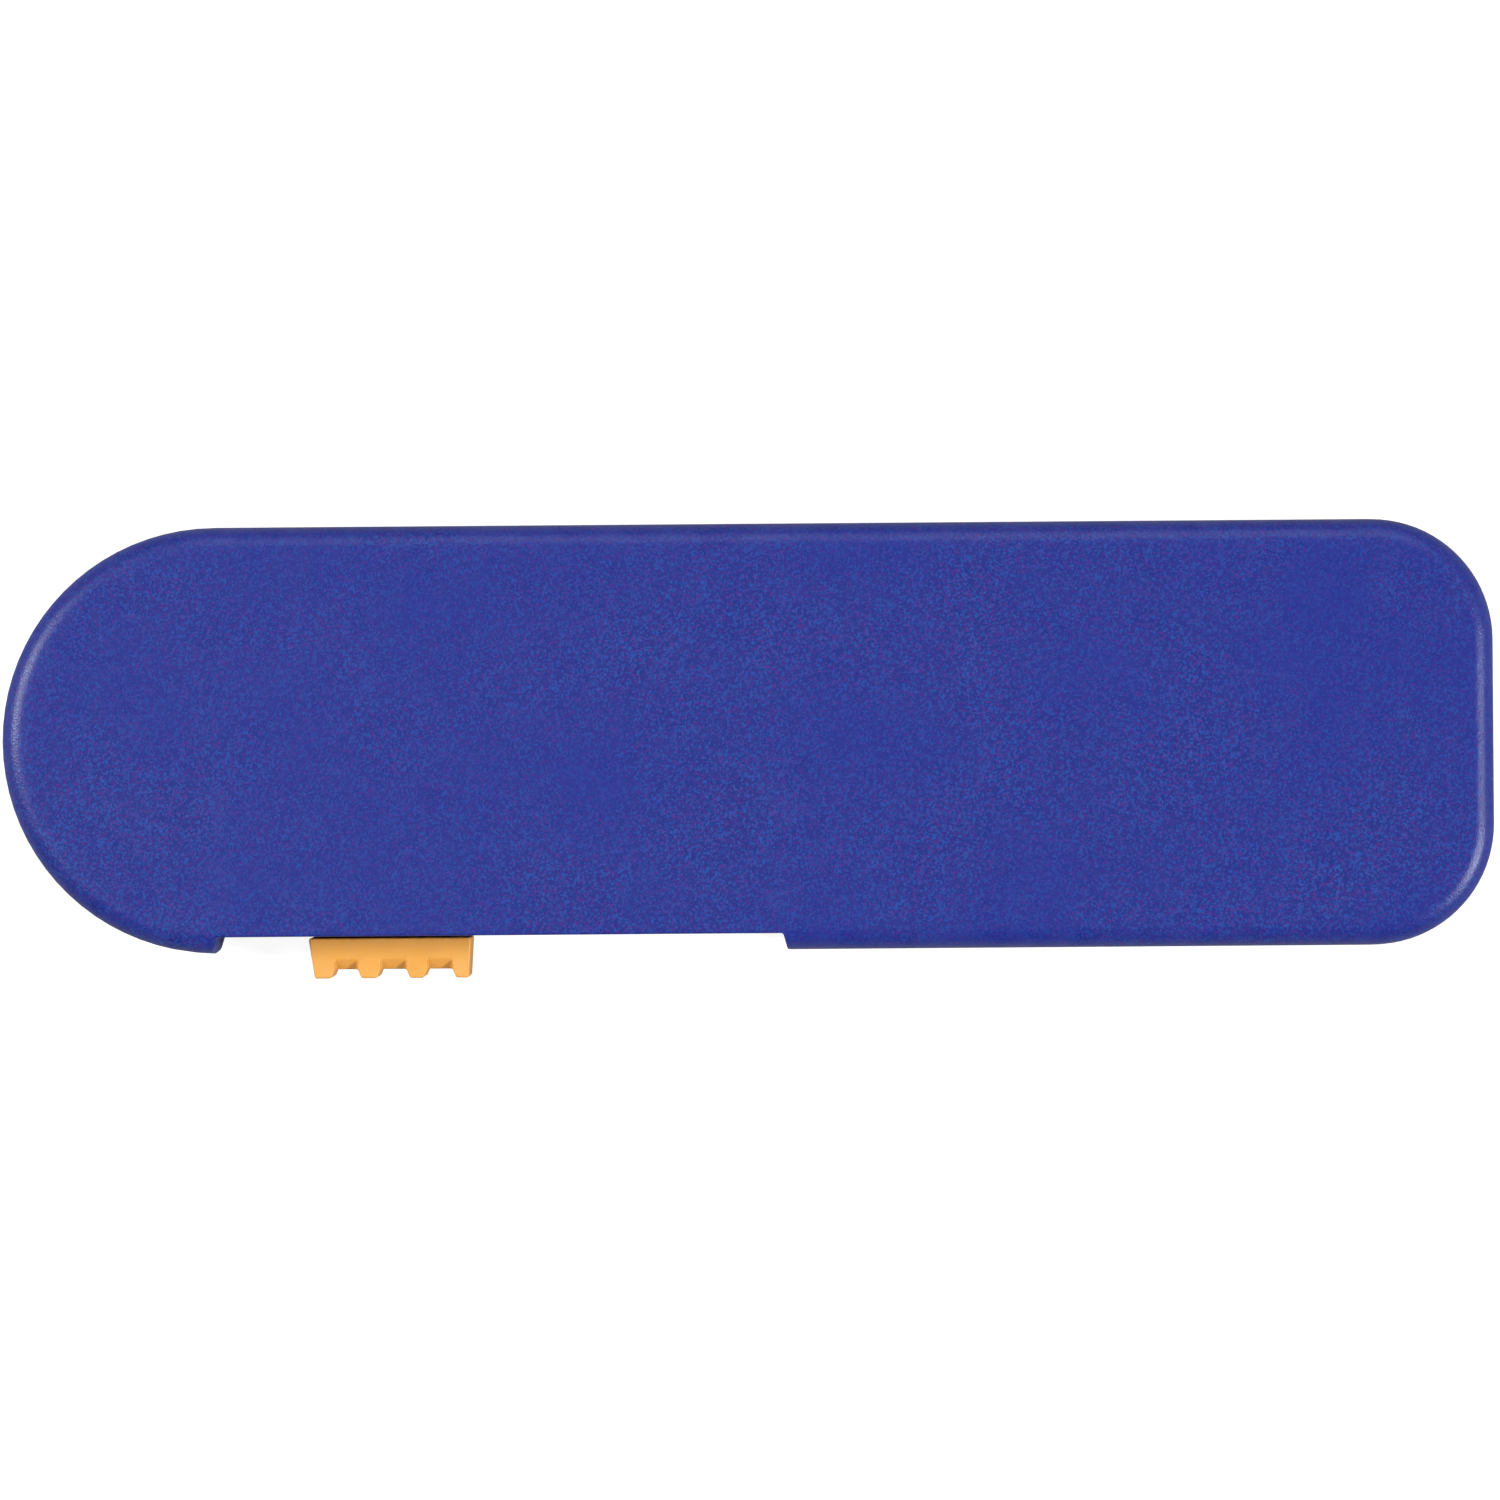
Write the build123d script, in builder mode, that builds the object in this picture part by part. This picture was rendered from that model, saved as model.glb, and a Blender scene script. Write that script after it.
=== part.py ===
"""Pocket chalkboard eraser: a flat two-shell case with a felt pad that a thumb slide pushes out.

Frame, in millimetres: the origin is the middle of the case's back face. +X runs along the case
from the round butt end to the mouth that the felt comes out of, the thumb slide stands out of the
-Y edge, and +Z points from the back face, which the case lies on, to the front face. The seam
between the two shells is the plane half way up.
"""

import os
from math import cos, radians, sin, tan

from build123d import *

os.makedirs("parts", exist_ok=True)

# ---------------------------------------------------------------- driving dimensions
# Case.
CASE_LENGTH = 100.0
CASE_WIDTH = 28.7
CASE_DEPTH = 14.0
WALL = 1.6
MOUTH_CORNER_R = 8.2
FACE_EDGE_R = 1.5
DRAFT = 1.2  # degrees, on the outer side walls
SEAM_CHAMFER = 0.15

# Relief in the case's edge that the thumb grip runs in.
RELIEF_START = -35.6
RELIEF_END = 2.25
RELIEF_DEPTH = 1.2
RELIEF_SLOPE = 15.0  # degrees, of its two end walls
RELIEF_WALL = 1.45
SLOT_WIDTH = 4.2

# Travel of the slide.
SLIDE_BACK = 5.1  # from rest towards the butt end
SLIDE_OUT = 20.4  # from rest towards the mouth
CLICK_PITCH = 5.1
SLIDE_REST_X = -24.1  # middle of the thumb grip, the neck and the click spring

# Thumb grip.
GRIP_LENGTH = 10.9
GRIP_WIDTH = 9.0
GRIP_BODY = 2.1
GRIP_DRAFT = 5.0  # degrees, on its ends
GRIP_BEVEL = 0.7  # between the ribs, along both faces
RIB_COUNT = 4
RIB_HEIGHT = 0.6
RIB_TIP = 0.95
RIB_ROOT = 1.5

# Felt pad.
FELT_LAYERS = 4
FELT_THICKNESS = 2.1
FELT_HALF = 9.8
FELT_SETBACK = 1.7  # from the mouth, at rest
FELT_CORNER_R = 6.5

# Slide carriage and clamp.
CARRIAGE_START = -33.5
CARRIAGE_HALF = 10.0
CARRIAGE_WALL = 1.2
CLAMP_START = -17.0
CLAMP_END = -6.5
PLATE = 0.9
NECK_LENGTH = 8.0
STEM_LENGTH = 6.4
STEM_WIDTH = 2.6
STEM_HEIGHT = 1.2

# Rails inside the shells.
RAIL_THICKNESS = 1.0
CLICK_RAIL_THICKNESS = 1.5
GUIDE_RIB_COUNT = 7
GUIDE_RIB_PITCH = 6.2

# Click spring.
SPRING_THICKNESS = 0.3
SPRING_WIDTH = 3.6
SPRING_LENGTH = 10.8
BUMP_HALF = 2.6
BUMP_R = 0.7
CLICK_DEPTH = 0.65
CLICK_HALF = 1.4
CLICK_HEIGHT = 4.8

# Screws at the butt end, and their bosses.
BOSS_RADIUS = 8.7  # from the middle of the round end
BOSS_ANGLE = 38.0  # degrees, either side of the case's axis
BOSS_R = 2.3
SCREW_HEAD_R = 1.9
SCREW_HEAD = 1.2
SCREW_SHANK_R = 0.95
SCREW_LENGTH = 9.0
HEAD_SEAT = 1.5  # depth of the head's seat under the back face

# Rivets through the clamp, the felt and the carriage.
RIVET_Y = 5.6
RIVET_R = 0.8
RIVET_HEAD_R = 1.5
RIVET_HEAD = 0.45

# Snap hooks near the mouth.
HOOK_X = (20.0, 38.0)
HOOK_LENGTH = 4.0
HOOK_THICKNESS = 0.8
HOOK_BARB = 0.55
BARB_HEIGHT = 0.85
HOOK_TIP_Z = 4.0

# Lip of the front shell, which nests in a rebate of the back shell.
LIP_HEIGHT = 1.0
LIP_THICKNESS = 0.7

# Gaps.
FACE_GAP = 0.3  # between the carriage and the shells' faces
RUN_GAP = 0.2  # between the carriage and its rails
STOP_GAP = 0.15  # between the neck and the ends of the slot, at the ends of the travel
MOUTH_GAP = 0.5  # between the felt and the mouth
SEAT_GAP = 0.05  # where two still parts nest

# ---------------------------------------------------------------- places worked out from them
HALF_LENGTH = CASE_LENGTH / 2
HALF_WIDTH = CASE_WIDTH / 2
SEAM_Z = CASE_DEPTH / 2
SHELL_DEPTH = CASE_DEPTH - SEAM_Z
CAVITY_DEPTH = SHELL_DEPTH - WALL
BUTT_X = -HALF_LENGTH + HALF_WIDTH  # centre of the round end
BURIED = WALL / 2  # how far a rib runs into the wall that it stands on

CARRIAGE_BOTTOM = WALL + FACE_GAP
CARRIAGE_TOP = CASE_DEPTH - CARRIAGE_BOTTOM
FELT_BOTTOM = CARRIAGE_BOTTOM + PLATE
FELT_TOP = CARRIAGE_TOP - PLATE
FELT_FRONT = HALF_LENGTH - FELT_SETBACK
MOUTH_HALF_HEIGHT = (FELT_TOP - FELT_BOTTOM) / 2 + MOUTH_GAP

RAIL_INNER = CARRIAGE_HALF + RUN_GAP
RAIL_END = HALF_LENGTH - WALL
RELIEF_Y = -HALF_WIDTH + RELIEF_DEPTH
RELIEF_INNER = RELIEF_Y + RELIEF_WALL
RELIEF_MIDDLE = (RELIEF_START + RELIEF_END) / 2
SLOT_START = SLIDE_REST_X - NECK_LENGTH / 2 - SLIDE_BACK - STOP_GAP
SLOT_END = SLIDE_REST_X + NECK_LENGTH / 2 + SLIDE_OUT + STOP_GAP
NECK_WIDTH = SLOT_WIDTH - 2 * RUN_GAP
GRIP_ROOT = RELIEF_Y - STOP_GAP
GRIP_VALLEY = GRIP_ROOT - GRIP_BODY
GRIP_TIP = GRIP_VALLEY - RIB_HEIGHT

SPRING_Y = CARRIAGE_HALF - CARRIAGE_WALL - SPRING_THICKNESS / 2
BUMP_Y = RAIL_INNER + CLICK_DEPTH - 0.1  # corner of the bump's centre line, before its rounding
RIVET_X = (CLAMP_START + CLAMP_END) / 2
HOOK_FACE = HALF_WIDTH - WALL - RUN_GAP

screw_points = [
    (BUTT_X - BOSS_RADIUS * cos(radians(BOSS_ANGLE)), side * BOSS_RADIUS * sin(radians(BOSS_ANGLE)))
    for side in (-1, 1)
]
rivet_points = [(RIVET_X, side * RIVET_Y) for side in (-1, 1)]
seam_plane = Plane.XY.offset(SEAM_Z)
rail_plane = Plane.XY.offset(SEAM_Z + SEAT_GAP)


# ---------------------------------------------------------------- outlines used more than once
def case_outline(inset=0.0):
    """Plan of the case, drawn in by inset: a half circle at the butt, round corners at the mouth."""
    half = HALF_WIDTH - inset
    with BuildSketch(mode=Mode.PRIVATE) as outline:
        with Locations((BUTT_X, 0)):
            Circle(half)
            Rectangle(HALF_LENGTH - inset - BUTT_X, 2 * half, align=(Align.MIN, Align.CENTER))
        fillet(outline.vertices().group_by(Axis.X)[-1], MOUTH_CORNER_R - inset)
    return outline.sketch


def lip_outline(inner, outer, gap):
    """Band along the seam between two insets, open by gap less at the relief and at the mouth."""
    with BuildSketch(mode=Mode.PRIVATE) as outline:
        add(case_outline(outer))
        add(case_outline(inner), mode=Mode.SUBTRACT)
        with Locations((RELIEF_MIDDLE, -HALF_WIDTH)):
            Rectangle(RELIEF_END - RELIEF_START + 6 - 2 * gap, HALF_WIDTH, mode=Mode.SUBTRACT)
        with Locations((HALF_LENGTH, 0)):
            Rectangle(2 * MOUTH_CORNER_R, 2 * (RAIL_INNER + 1.6 - gap), mode=Mode.SUBTRACT)
    return outline.sketch


def box_outline(start, end, half):
    """Rectangle from start to end along X, centred on the case's axis."""
    with BuildSketch(mode=Mode.PRIVATE) as outline:
        with Locations((start, 0)):
            Rectangle(end - start, 2 * half, align=(Align.MIN, Align.CENTER))
    return outline.sketch


def boss_outline():
    """The two screw bosses, each tied to the round end's wall by a rib."""
    with BuildSketch(mode=Mode.PRIVATE) as outline:
        with Locations((BUTT_X, 0)):
            with PolarLocations(BOSS_RADIUS, 2, 180 - BOSS_ANGLE, 2 * BOSS_ANGLE, endpoint=True):
                Circle(BOSS_R)
                Rectangle(HALF_WIDTH - BURIED - BOSS_RADIUS, RAIL_THICKNESS, align=(Align.MIN, Align.CENTER))
    return outline.sketch


def felt_outline():
    """Plan of a felt layer: square where the clamp holds it, round corners in front, rivet holes."""
    with BuildSketch(mode=Mode.PRIVATE) as outline:
        add(box_outline(CLAMP_START + SEAT_GAP, FELT_FRONT, FELT_HALF))
        fillet(outline.vertices().group_by(Axis.X)[-1], FELT_CORNER_R)
        with Locations(*rivet_points):
            Circle(RIVET_R + SEAT_GAP, mode=Mode.SUBTRACT)
    return outline.sketch


def grip_half(y):
    """Half length of the thumb grip at a given y, which its draft narrows towards the rib tips."""
    return GRIP_LENGTH / 2 - (GRIP_ROOT - y) * tan(radians(GRIP_DRAFT))


def grip_outline(tip):
    """Side view of the thumb grip without its ribs, from its root out to tip."""
    with BuildSketch(mode=Mode.PRIVATE) as outline:
        with Locations((SLIDE_REST_X, 0)):
            Polygon(
                (-grip_half(GRIP_ROOT), GRIP_ROOT),
                (-grip_half(tip), tip),
                (grip_half(tip), tip),
                (grip_half(GRIP_ROOT), GRIP_ROOT),
                align=None,
            )
    return outline.sketch


# ---------------------------------------------------------------- half case, drawn above the seam
with BuildPart() as half_case:
    # Skin, drafted from the seam and rounded at the face.
    with BuildSketch(seam_plane):
        add(case_outline())
    extrude(amount=SHELL_DEPTH, taper=DRAFT)
    fillet(half_case.faces().sort_by(Axis.Z)[-1].outer_wire().edges(), FACE_EDGE_R)
    chamfer(half_case.faces().sort_by(Axis.Z)[0].outer_wire().edges(), SEAM_CHAMFER)
    with BuildSketch(seam_plane):
        add(case_outline(WALL))
    extrude(amount=CAVITY_DEPTH, mode=Mode.SUBTRACT)

    # Wall that backs the relief.
    with BuildSketch(seam_plane):
        with Locations((RELIEF_MIDDLE, RELIEF_INNER)):
            Rectangle(
                RELIEF_END - RELIEF_START + 2 * RELIEF_WALL,
                HALF_WIDTH + RELIEF_INNER - BURIED,
                align=(Align.CENTER, Align.MAX),
            )
    extrude(amount=CAVITY_DEPTH + BURIED)

    # Rails, which stop just short of the seam: thick beside the click spring, ribs by the relief.
    with BuildSketch(rail_plane):
        with Locations((BUTT_X, RAIL_INNER)):
            Rectangle(HALF_LENGTH - BUTT_X, RAIL_THICKNESS, align=Align.MIN)
            Rectangle(RELIEF_END - BUTT_X, CLICK_RAIL_THICKNESS, align=Align.MIN)
        with Locations((RELIEF_END + RELIEF_WALL, -RAIL_INNER)):
            Rectangle(HALF_LENGTH, RAIL_THICKNESS, align=(Align.MIN, Align.MAX))
        with Locations((RELIEF_MIDDLE, -RAIL_INNER)), GridLocations(GUIDE_RIB_PITCH, 1, GUIDE_RIB_COUNT, 1):
            Rectangle(RAIL_THICKNESS, -RAIL_INNER - RELIEF_INNER + BURIED, align=(Align.CENTER, Align.MAX))
        add(case_outline(BURIED), mode=Mode.INTERSECT)
    extrude(amount=CAVITY_DEPTH + BURIED - SEAT_GAP)

    # Mouth.
    with BuildSketch(seam_plane):
        add(box_outline(RAIL_END - WALL, HALF_LENGTH + WALL, RAIL_INNER))
    extrude(amount=MOUTH_HALF_HEIGHT, mode=Mode.SUBTRACT)

    # Thumb relief, right through the edge, and the slot through its wall.
    with BuildSketch(seam_plane):
        relief_cut = 1.5 * RELIEF_DEPTH
        spread = relief_cut * tan(radians(RELIEF_SLOPE))
        Polygon(
            (RELIEF_START, RELIEF_Y),
            (RELIEF_END, RELIEF_Y),
            (RELIEF_END + spread, RELIEF_Y - relief_cut),
            (RELIEF_START - spread, RELIEF_Y - relief_cut),
            align=None,
        )
    extrude(amount=SHELL_DEPTH, mode=Mode.SUBTRACT)
    with BuildSketch(seam_plane):
        with Locations((SLOT_START, -CARRIAGE_HALF)):
            Rectangle(SLOT_END - SLOT_START, HALF_WIDTH - CARRIAGE_HALF, align=(Align.MIN, Align.MAX))
    extrude(amount=SLOT_WIDTH / 2, mode=Mode.SUBTRACT)

    # V notches that the spring clicks into, one at each stop of the slide.
    with BuildSketch(seam_plane):
        for step in range(round((SLIDE_BACK + SLIDE_OUT) / CLICK_PITCH) + 1):
            with Locations((SLIDE_REST_X - SLIDE_BACK + step * CLICK_PITCH, RAIL_INNER)):
                Polygon((-CLICK_HALF, 0), (CLICK_HALF, 0), (0, CLICK_DEPTH), align=None)
    extrude(amount=CLICK_HEIGHT / 2, mode=Mode.SUBTRACT)


# ---------------------------------------------------------------- front shell
with BuildPart() as front_shell:
    add(half_case.part)
    # Lip that nests in the back shell.
    with BuildSketch(Plane.XY.offset(SEAM_Z - LIP_HEIGHT)):
        add(lip_outline(BURIED + SEAT_GAP + LIP_THICKNESS, BURIED + SEAT_GAP, 0))
    extrude(amount=2 * LIP_HEIGHT)
    # Blind bosses that the screws bite into, each tied to the wall by a rib.
    with BuildSketch(seam_plane):
        add(boss_outline())
    extrude(amount=CAVITY_DEPTH + BURIED)
    with BuildSketch(seam_plane):
        with Locations(*screw_points):
            Circle(SCREW_SHANK_R + SEAT_GAP)
    extrude(amount=HEAD_SEAT + SCREW_LENGTH - SEAM_Z + FACE_GAP, mode=Mode.SUBTRACT)
    # Snap hooks: a springy tab and, at its tip, a barb that faces the wall.
    for x in HOOK_X:
        with BuildSketch(Plane.YZ.offset(x - HOOK_LENGTH / 2)) as hooks:
            Polygon(
                (HOOK_FACE - HOOK_THICKNESS, HOOK_TIP_Z),
                (HOOK_FACE, HOOK_TIP_Z),
                (HOOK_FACE + HOOK_BARB, HOOK_TIP_Z + BARB_HEIGHT),
                (HOOK_FACE, HOOK_TIP_Z + BARB_HEIGHT),
                (HOOK_FACE, CASE_DEPTH - BURIED),
                (HOOK_FACE - HOOK_THICKNESS, CASE_DEPTH - BURIED),
                align=None,
            )
            mirror(about=Plane.YZ)
        extrude(amount=HOOK_LENGTH)
front_shell.part.label = "front_shell"
export_step(front_shell.part, "parts/front_shell.step")


# ---------------------------------------------------------------- back shell
with BuildPart() as back_shell:
    mirror(half_case.part, about=seam_plane)
    # Bosses, with a clearance hole and a counterbore that sinks the screw head under the back face.
    with BuildSketch(seam_plane):
        add(boss_outline())
    extrude(amount=-CAVITY_DEPTH - BURIED)
    with BuildSketch():
        with Locations(*screw_points):
            Circle(SCREW_SHANK_R + RUN_GAP)
    extrude(amount=SEAM_Z, mode=Mode.SUBTRACT)
    with BuildSketch():
        with Locations(*screw_points):
            Circle(SCREW_HEAD_R + RUN_GAP)
    extrude(amount=HEAD_SEAT, mode=Mode.SUBTRACT)
    # Rebate for the front shell's lip.
    with BuildSketch(Plane.XY.offset(SEAM_Z - LIP_HEIGHT - 2 * SEAT_GAP)):
        add(lip_outline(WALL, BURIED, SEAT_GAP))
    extrude(amount=LIP_HEIGHT + 2 * SEAT_GAP, mode=Mode.SUBTRACT)
    # Pockets that the barbs catch in.
    with BuildSketch(Plane.XY.offset(HOOK_TIP_Z - RUN_GAP)):
        with Locations(*[(x, 0) for x in HOOK_X]):
            Rectangle(HOOK_LENGTH + 2 * RUN_GAP, 2 * (HOOK_FACE + HOOK_BARB + RUN_GAP))
        add(box_outline(BUTT_X, HALF_LENGTH, HOOK_FACE - HOOK_THICKNESS), mode=Mode.SUBTRACT)
    extrude(amount=BARB_HEIGHT + 2 * RUN_GAP - SEAT_GAP, mode=Mode.SUBTRACT)
back_shell.part.label = "back_shell"
export_step(back_shell.part, "parts/back_shell.step")

# ---------------------------------------------------------------- case screws, driven in from the back
with BuildPart() as case_screws:
    with BuildSketch(Plane.XY.offset(HEAD_SEAT - SCREW_HEAD)):
        with Locations(*screw_points):
            Circle(SCREW_HEAD_R)
    extrude(amount=SCREW_HEAD)
    fillet(case_screws.faces().group_by(Axis.Z)[0].edges(), SCREW_HEAD / 3)
    with BuildSketch(Plane.XY.offset(HEAD_SEAT)):
        with Locations(*screw_points):
            Circle(SCREW_SHANK_R)
    extrude(amount=SCREW_LENGTH)
    chamfer(case_screws.faces().group_by(Axis.Z)[-1].edges(), SCREW_SHANK_R / 2)
    # Cross recess.
    with BuildSketch(Plane.XY.offset(HEAD_SEAT - SCREW_HEAD)):
        with Locations(*screw_points):
            RectangleRounded(1.1 * SCREW_HEAD_R, SCREW_HEAD_R / 4, SCREW_HEAD_R / 10)
            RectangleRounded(SCREW_HEAD_R / 4, 1.1 * SCREW_HEAD_R, SCREW_HEAD_R / 10)
    extrude(amount=SCREW_HEAD / 2, mode=Mode.SUBTRACT)
case_screws.part.label = "case_screws"
export_step(case_screws.part, "parts/case_screws.step")

# ---------------------------------------------------------------- slide carriage
with BuildPart() as slide_carriage:
    # Floor, which carries the felt in front.
    with BuildSketch(Plane.XY.offset(CARRIAGE_BOTTOM)):
        add(box_outline(CARRIAGE_START, CLAMP_END, CARRIAGE_HALF))
    extrude(amount=PLATE)
    # Box behind the felt; its front wall is the felt's stop.
    with BuildSketch(Plane.XY.offset(CARRIAGE_BOTTOM)):
        add(box_outline(CARRIAGE_START, CLAMP_START, CARRIAGE_HALF))
        add(
            box_outline(CARRIAGE_START + CARRIAGE_WALL, CLAMP_START - CARRIAGE_WALL, CARRIAGE_HALF - CARRIAGE_WALL),
            mode=Mode.SUBTRACT,
        )
    extrude(amount=CARRIAGE_TOP - CARRIAGE_BOTTOM)
    fillet(slide_carriage.edges().filter_by(Axis.Z).group_by(Axis.X)[0], CARRIAGE_WALL)
    # Neck through the slot, and the stem that the grip is pressed onto.
    with BuildSketch(Plane.XZ.offset(CARRIAGE_HALF - CARRIAGE_WALL / 2)):
        with Locations((SLIDE_REST_X, SEAM_Z)):
            Rectangle(NECK_LENGTH, NECK_WIDTH)
    extrude(amount=-GRIP_ROOT - CARRIAGE_HALF + CARRIAGE_WALL / 2)
    with BuildSketch(Plane.XZ.offset(-GRIP_ROOT)):
        with Locations((SLIDE_REST_X, SEAM_Z)):
            Rectangle(STEM_LENGTH, STEM_WIDTH)
    extrude(amount=STEM_HEIGHT)
    # Window that the click spring's bump reaches through.
    with BuildSketch(Plane.XZ.offset(-CARRIAGE_HALF)):
        with Locations((SLIDE_REST_X, SEAM_Z)):
            Rectangle(2 * (BUMP_HALF + RUN_GAP), SPRING_WIDTH + 2 * RUN_GAP)
    extrude(amount=CARRIAGE_WALL, mode=Mode.SUBTRACT)
    # Posts that hold the spring's ends against the wall.
    with BuildSketch(Plane.XY.offset(CARRIAGE_BOTTOM)):
        with Locations((SLIDE_REST_X, SPRING_Y - SPRING_THICKNESS / 2 - SEAT_GAP)):
            with GridLocations(SPRING_LENGTH - CARRIAGE_WALL, 1, 2, 1):
                Rectangle(CARRIAGE_WALL, CARRIAGE_WALL, align=(Align.CENTER, Align.MAX))
    extrude(amount=SEAM_Z + SPRING_WIDTH / 2 - CARRIAGE_BOTTOM)
    # Shelf under the spring.
    with BuildSketch(Plane.XY.offset(CARRIAGE_BOTTOM)):
        with Locations((SLIDE_REST_X, CARRIAGE_HALF - CARRIAGE_WALL / 2)):
            Rectangle(SPRING_LENGTH, 2 * CARRIAGE_WALL, align=(Align.CENTER, Align.MAX))
    extrude(amount=SEAM_Z - SPRING_WIDTH / 2 - CARRIAGE_BOTTOM)
    # Rivet holes, counterbored from below.
    with BuildSketch(Plane.XY.offset(CARRIAGE_BOTTOM)):
        with Locations(*rivet_points):
            Circle(RIVET_R + SEAT_GAP)
    extrude(amount=PLATE, mode=Mode.SUBTRACT)
    with BuildSketch(Plane.XY.offset(CARRIAGE_BOTTOM)):
        with Locations(*rivet_points):
            Circle(RIVET_HEAD_R + SEAT_GAP)
    extrude(amount=RIVET_HEAD + SEAT_GAP, mode=Mode.SUBTRACT)
slide_carriage.part.label = "slide_carriage"
export_step(slide_carriage.part, "parts/slide_carriage.step")

# ---------------------------------------------------------------- pad clamp
with BuildPart() as pad_clamp:
    with BuildSketch(Plane.XY.offset(FELT_TOP)):
        add(box_outline(CLAMP_START + SEAT_GAP, CLAMP_END, CARRIAGE_HALF))
    extrude(amount=PLATE)
    fillet(pad_clamp.edges().filter_by(Axis.Z).group_by(Axis.X)[-1], CARRIAGE_WALL)
    # Rivet holes, counterbored from above.
    with BuildSketch(Plane.XY.offset(FELT_TOP)):
        with Locations(*rivet_points):
            Circle(RIVET_R + SEAT_GAP)
    extrude(amount=PLATE, mode=Mode.SUBTRACT)
    with BuildSketch(Plane.XY.offset(CARRIAGE_TOP)):
        with Locations(*rivet_points):
            Circle(RIVET_HEAD_R + SEAT_GAP)
    extrude(amount=-RIVET_HEAD - SEAT_GAP, mode=Mode.SUBTRACT)
pad_clamp.part.label = "pad_clamp"
export_step(pad_clamp.part, "parts/pad_clamp.step")

# ---------------------------------------------------------------- click spring
with BuildPart() as detent_spring:
    with BuildSketch(Plane.XY.offset(SEAM_Z - SPRING_WIDTH / 2)):
        with BuildLine():
            FilletPolyline(
                (SLIDE_REST_X - SPRING_LENGTH / 2, SPRING_Y),
                (SLIDE_REST_X - BUMP_HALF, SPRING_Y),
                (SLIDE_REST_X, BUMP_Y),
                (SLIDE_REST_X + BUMP_HALF, SPRING_Y),
                (SLIDE_REST_X + SPRING_LENGTH / 2, SPRING_Y),
                radius=BUMP_R,
            )
            offset(amount=SPRING_THICKNESS / 2)
        make_face()
    extrude(amount=SPRING_WIDTH)
detent_spring.part.label = "detent_spring"
export_step(detent_spring.part, "parts/detent_spring.step")

# ---------------------------------------------------------------- rivets through clamp, felt and floor
with BuildPart() as pad_rivets:
    with BuildSketch(Plane.XY.offset(CARRIAGE_BOTTOM + SEAT_GAP)):
        with Locations(*rivet_points):
            Circle(RIVET_R)
    extrude(amount=CARRIAGE_TOP - CARRIAGE_BOTTOM - 2 * SEAT_GAP)
    for plane in (
        Plane.XY.offset(CARRIAGE_BOTTOM + SEAT_GAP),
        Plane.XY.offset(CARRIAGE_TOP - SEAT_GAP - RIVET_HEAD),
    ):
        with BuildSketch(plane):
            with Locations(*rivet_points):
                Circle(RIVET_HEAD_R)
        extrude(amount=RIVET_HEAD)
    ends = pad_rivets.faces().filter_by(Axis.Z).group_by(Axis.Z)
    chamfer(ends[0].edges() + ends[-1].edges(), RIVET_HEAD / 3)
pad_rivets.part.label = "pad_rivets"
export_step(pad_rivets.part, "parts/pad_rivets.step")

# ---------------------------------------------------------------- felt layers, stacked face to face
for layer in range(FELT_LAYERS):
    with BuildPart() as felt_layer:
        with BuildSketch(Plane.XY.offset(FELT_BOTTOM + layer * FELT_THICKNESS)):
            add(felt_outline())
        extrude(amount=FELT_THICKNESS)
    felt_layer.part.label = f"felt_layer_{layer + 1}"
    export_step(felt_layer.part, f"parts/felt_layer_{layer + 1}.step")

# ---------------------------------------------------------------- thumb grip
with BuildPart() as thumb_grip:
    # Body, bevelled along both faces.
    grip_plane = Plane.XY.offset(SEAM_Z - GRIP_WIDTH / 2)
    with BuildSketch(grip_plane):
        add(grip_outline(GRIP_VALLEY))
    extrude(amount=GRIP_WIDTH)
    chamfer(thumb_grip.faces().sort_by(Axis.Y)[0].edges().filter_by(Axis.X), GRIP_BEVEL)
    # Ribs, full width, the end ones flush with the ends of the body.
    rib_foot = GRIP_VALLEY + 1.5 * GRIP_BEVEL
    rib_pitch = (2 * grip_half(GRIP_TIP) - RIB_TIP) / (RIB_COUNT - 1)
    with BuildSketch(grip_plane):
        with Locations((SLIDE_REST_X, 0)), GridLocations(rib_pitch, 1, RIB_COUNT, 1):
            Polygon(
                (-RIB_ROOT / 2, rib_foot),
                (-RIB_ROOT / 2, GRIP_VALLEY),
                (-RIB_TIP / 2, GRIP_TIP),
                (RIB_TIP / 2, GRIP_TIP),
                (RIB_ROOT / 2, GRIP_VALLEY),
                (RIB_ROOT / 2, rib_foot),
                align=None,
            )
        add(grip_outline(GRIP_TIP), mode=Mode.INTERSECT)
    extrude(amount=GRIP_WIDTH)
    # Socket for the carriage's stem.
    with BuildSketch(Plane.XZ.offset(-GRIP_ROOT)):
        with Locations((SLIDE_REST_X, SEAM_Z)):
            Rectangle(STEM_LENGTH + 2 * SEAT_GAP, STEM_WIDTH + 2 * SEAT_GAP)
    extrude(amount=STEM_HEIGHT + 2 * SEAT_GAP, mode=Mode.SUBTRACT)
thumb_grip.part.label = "thumb_grip"
export_step(thumb_grip.part, "parts/thumb_grip.step")
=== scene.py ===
# %% [markdown]
# # A pocket chalkboard eraser
# The case is two moulded shells. Inside it a carriage holds four layers of felt, and an orange
# thumb grip on the case's edge slides them out of the mouth at the right-hand end. Everything that
# moves or fits was settled in the CAD model, so this script only adds the looks: it loads that
# model as a fixed frame, builds finer surfaces in the same places and gives each one its material.

# %% Load the frame
import math

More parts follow.
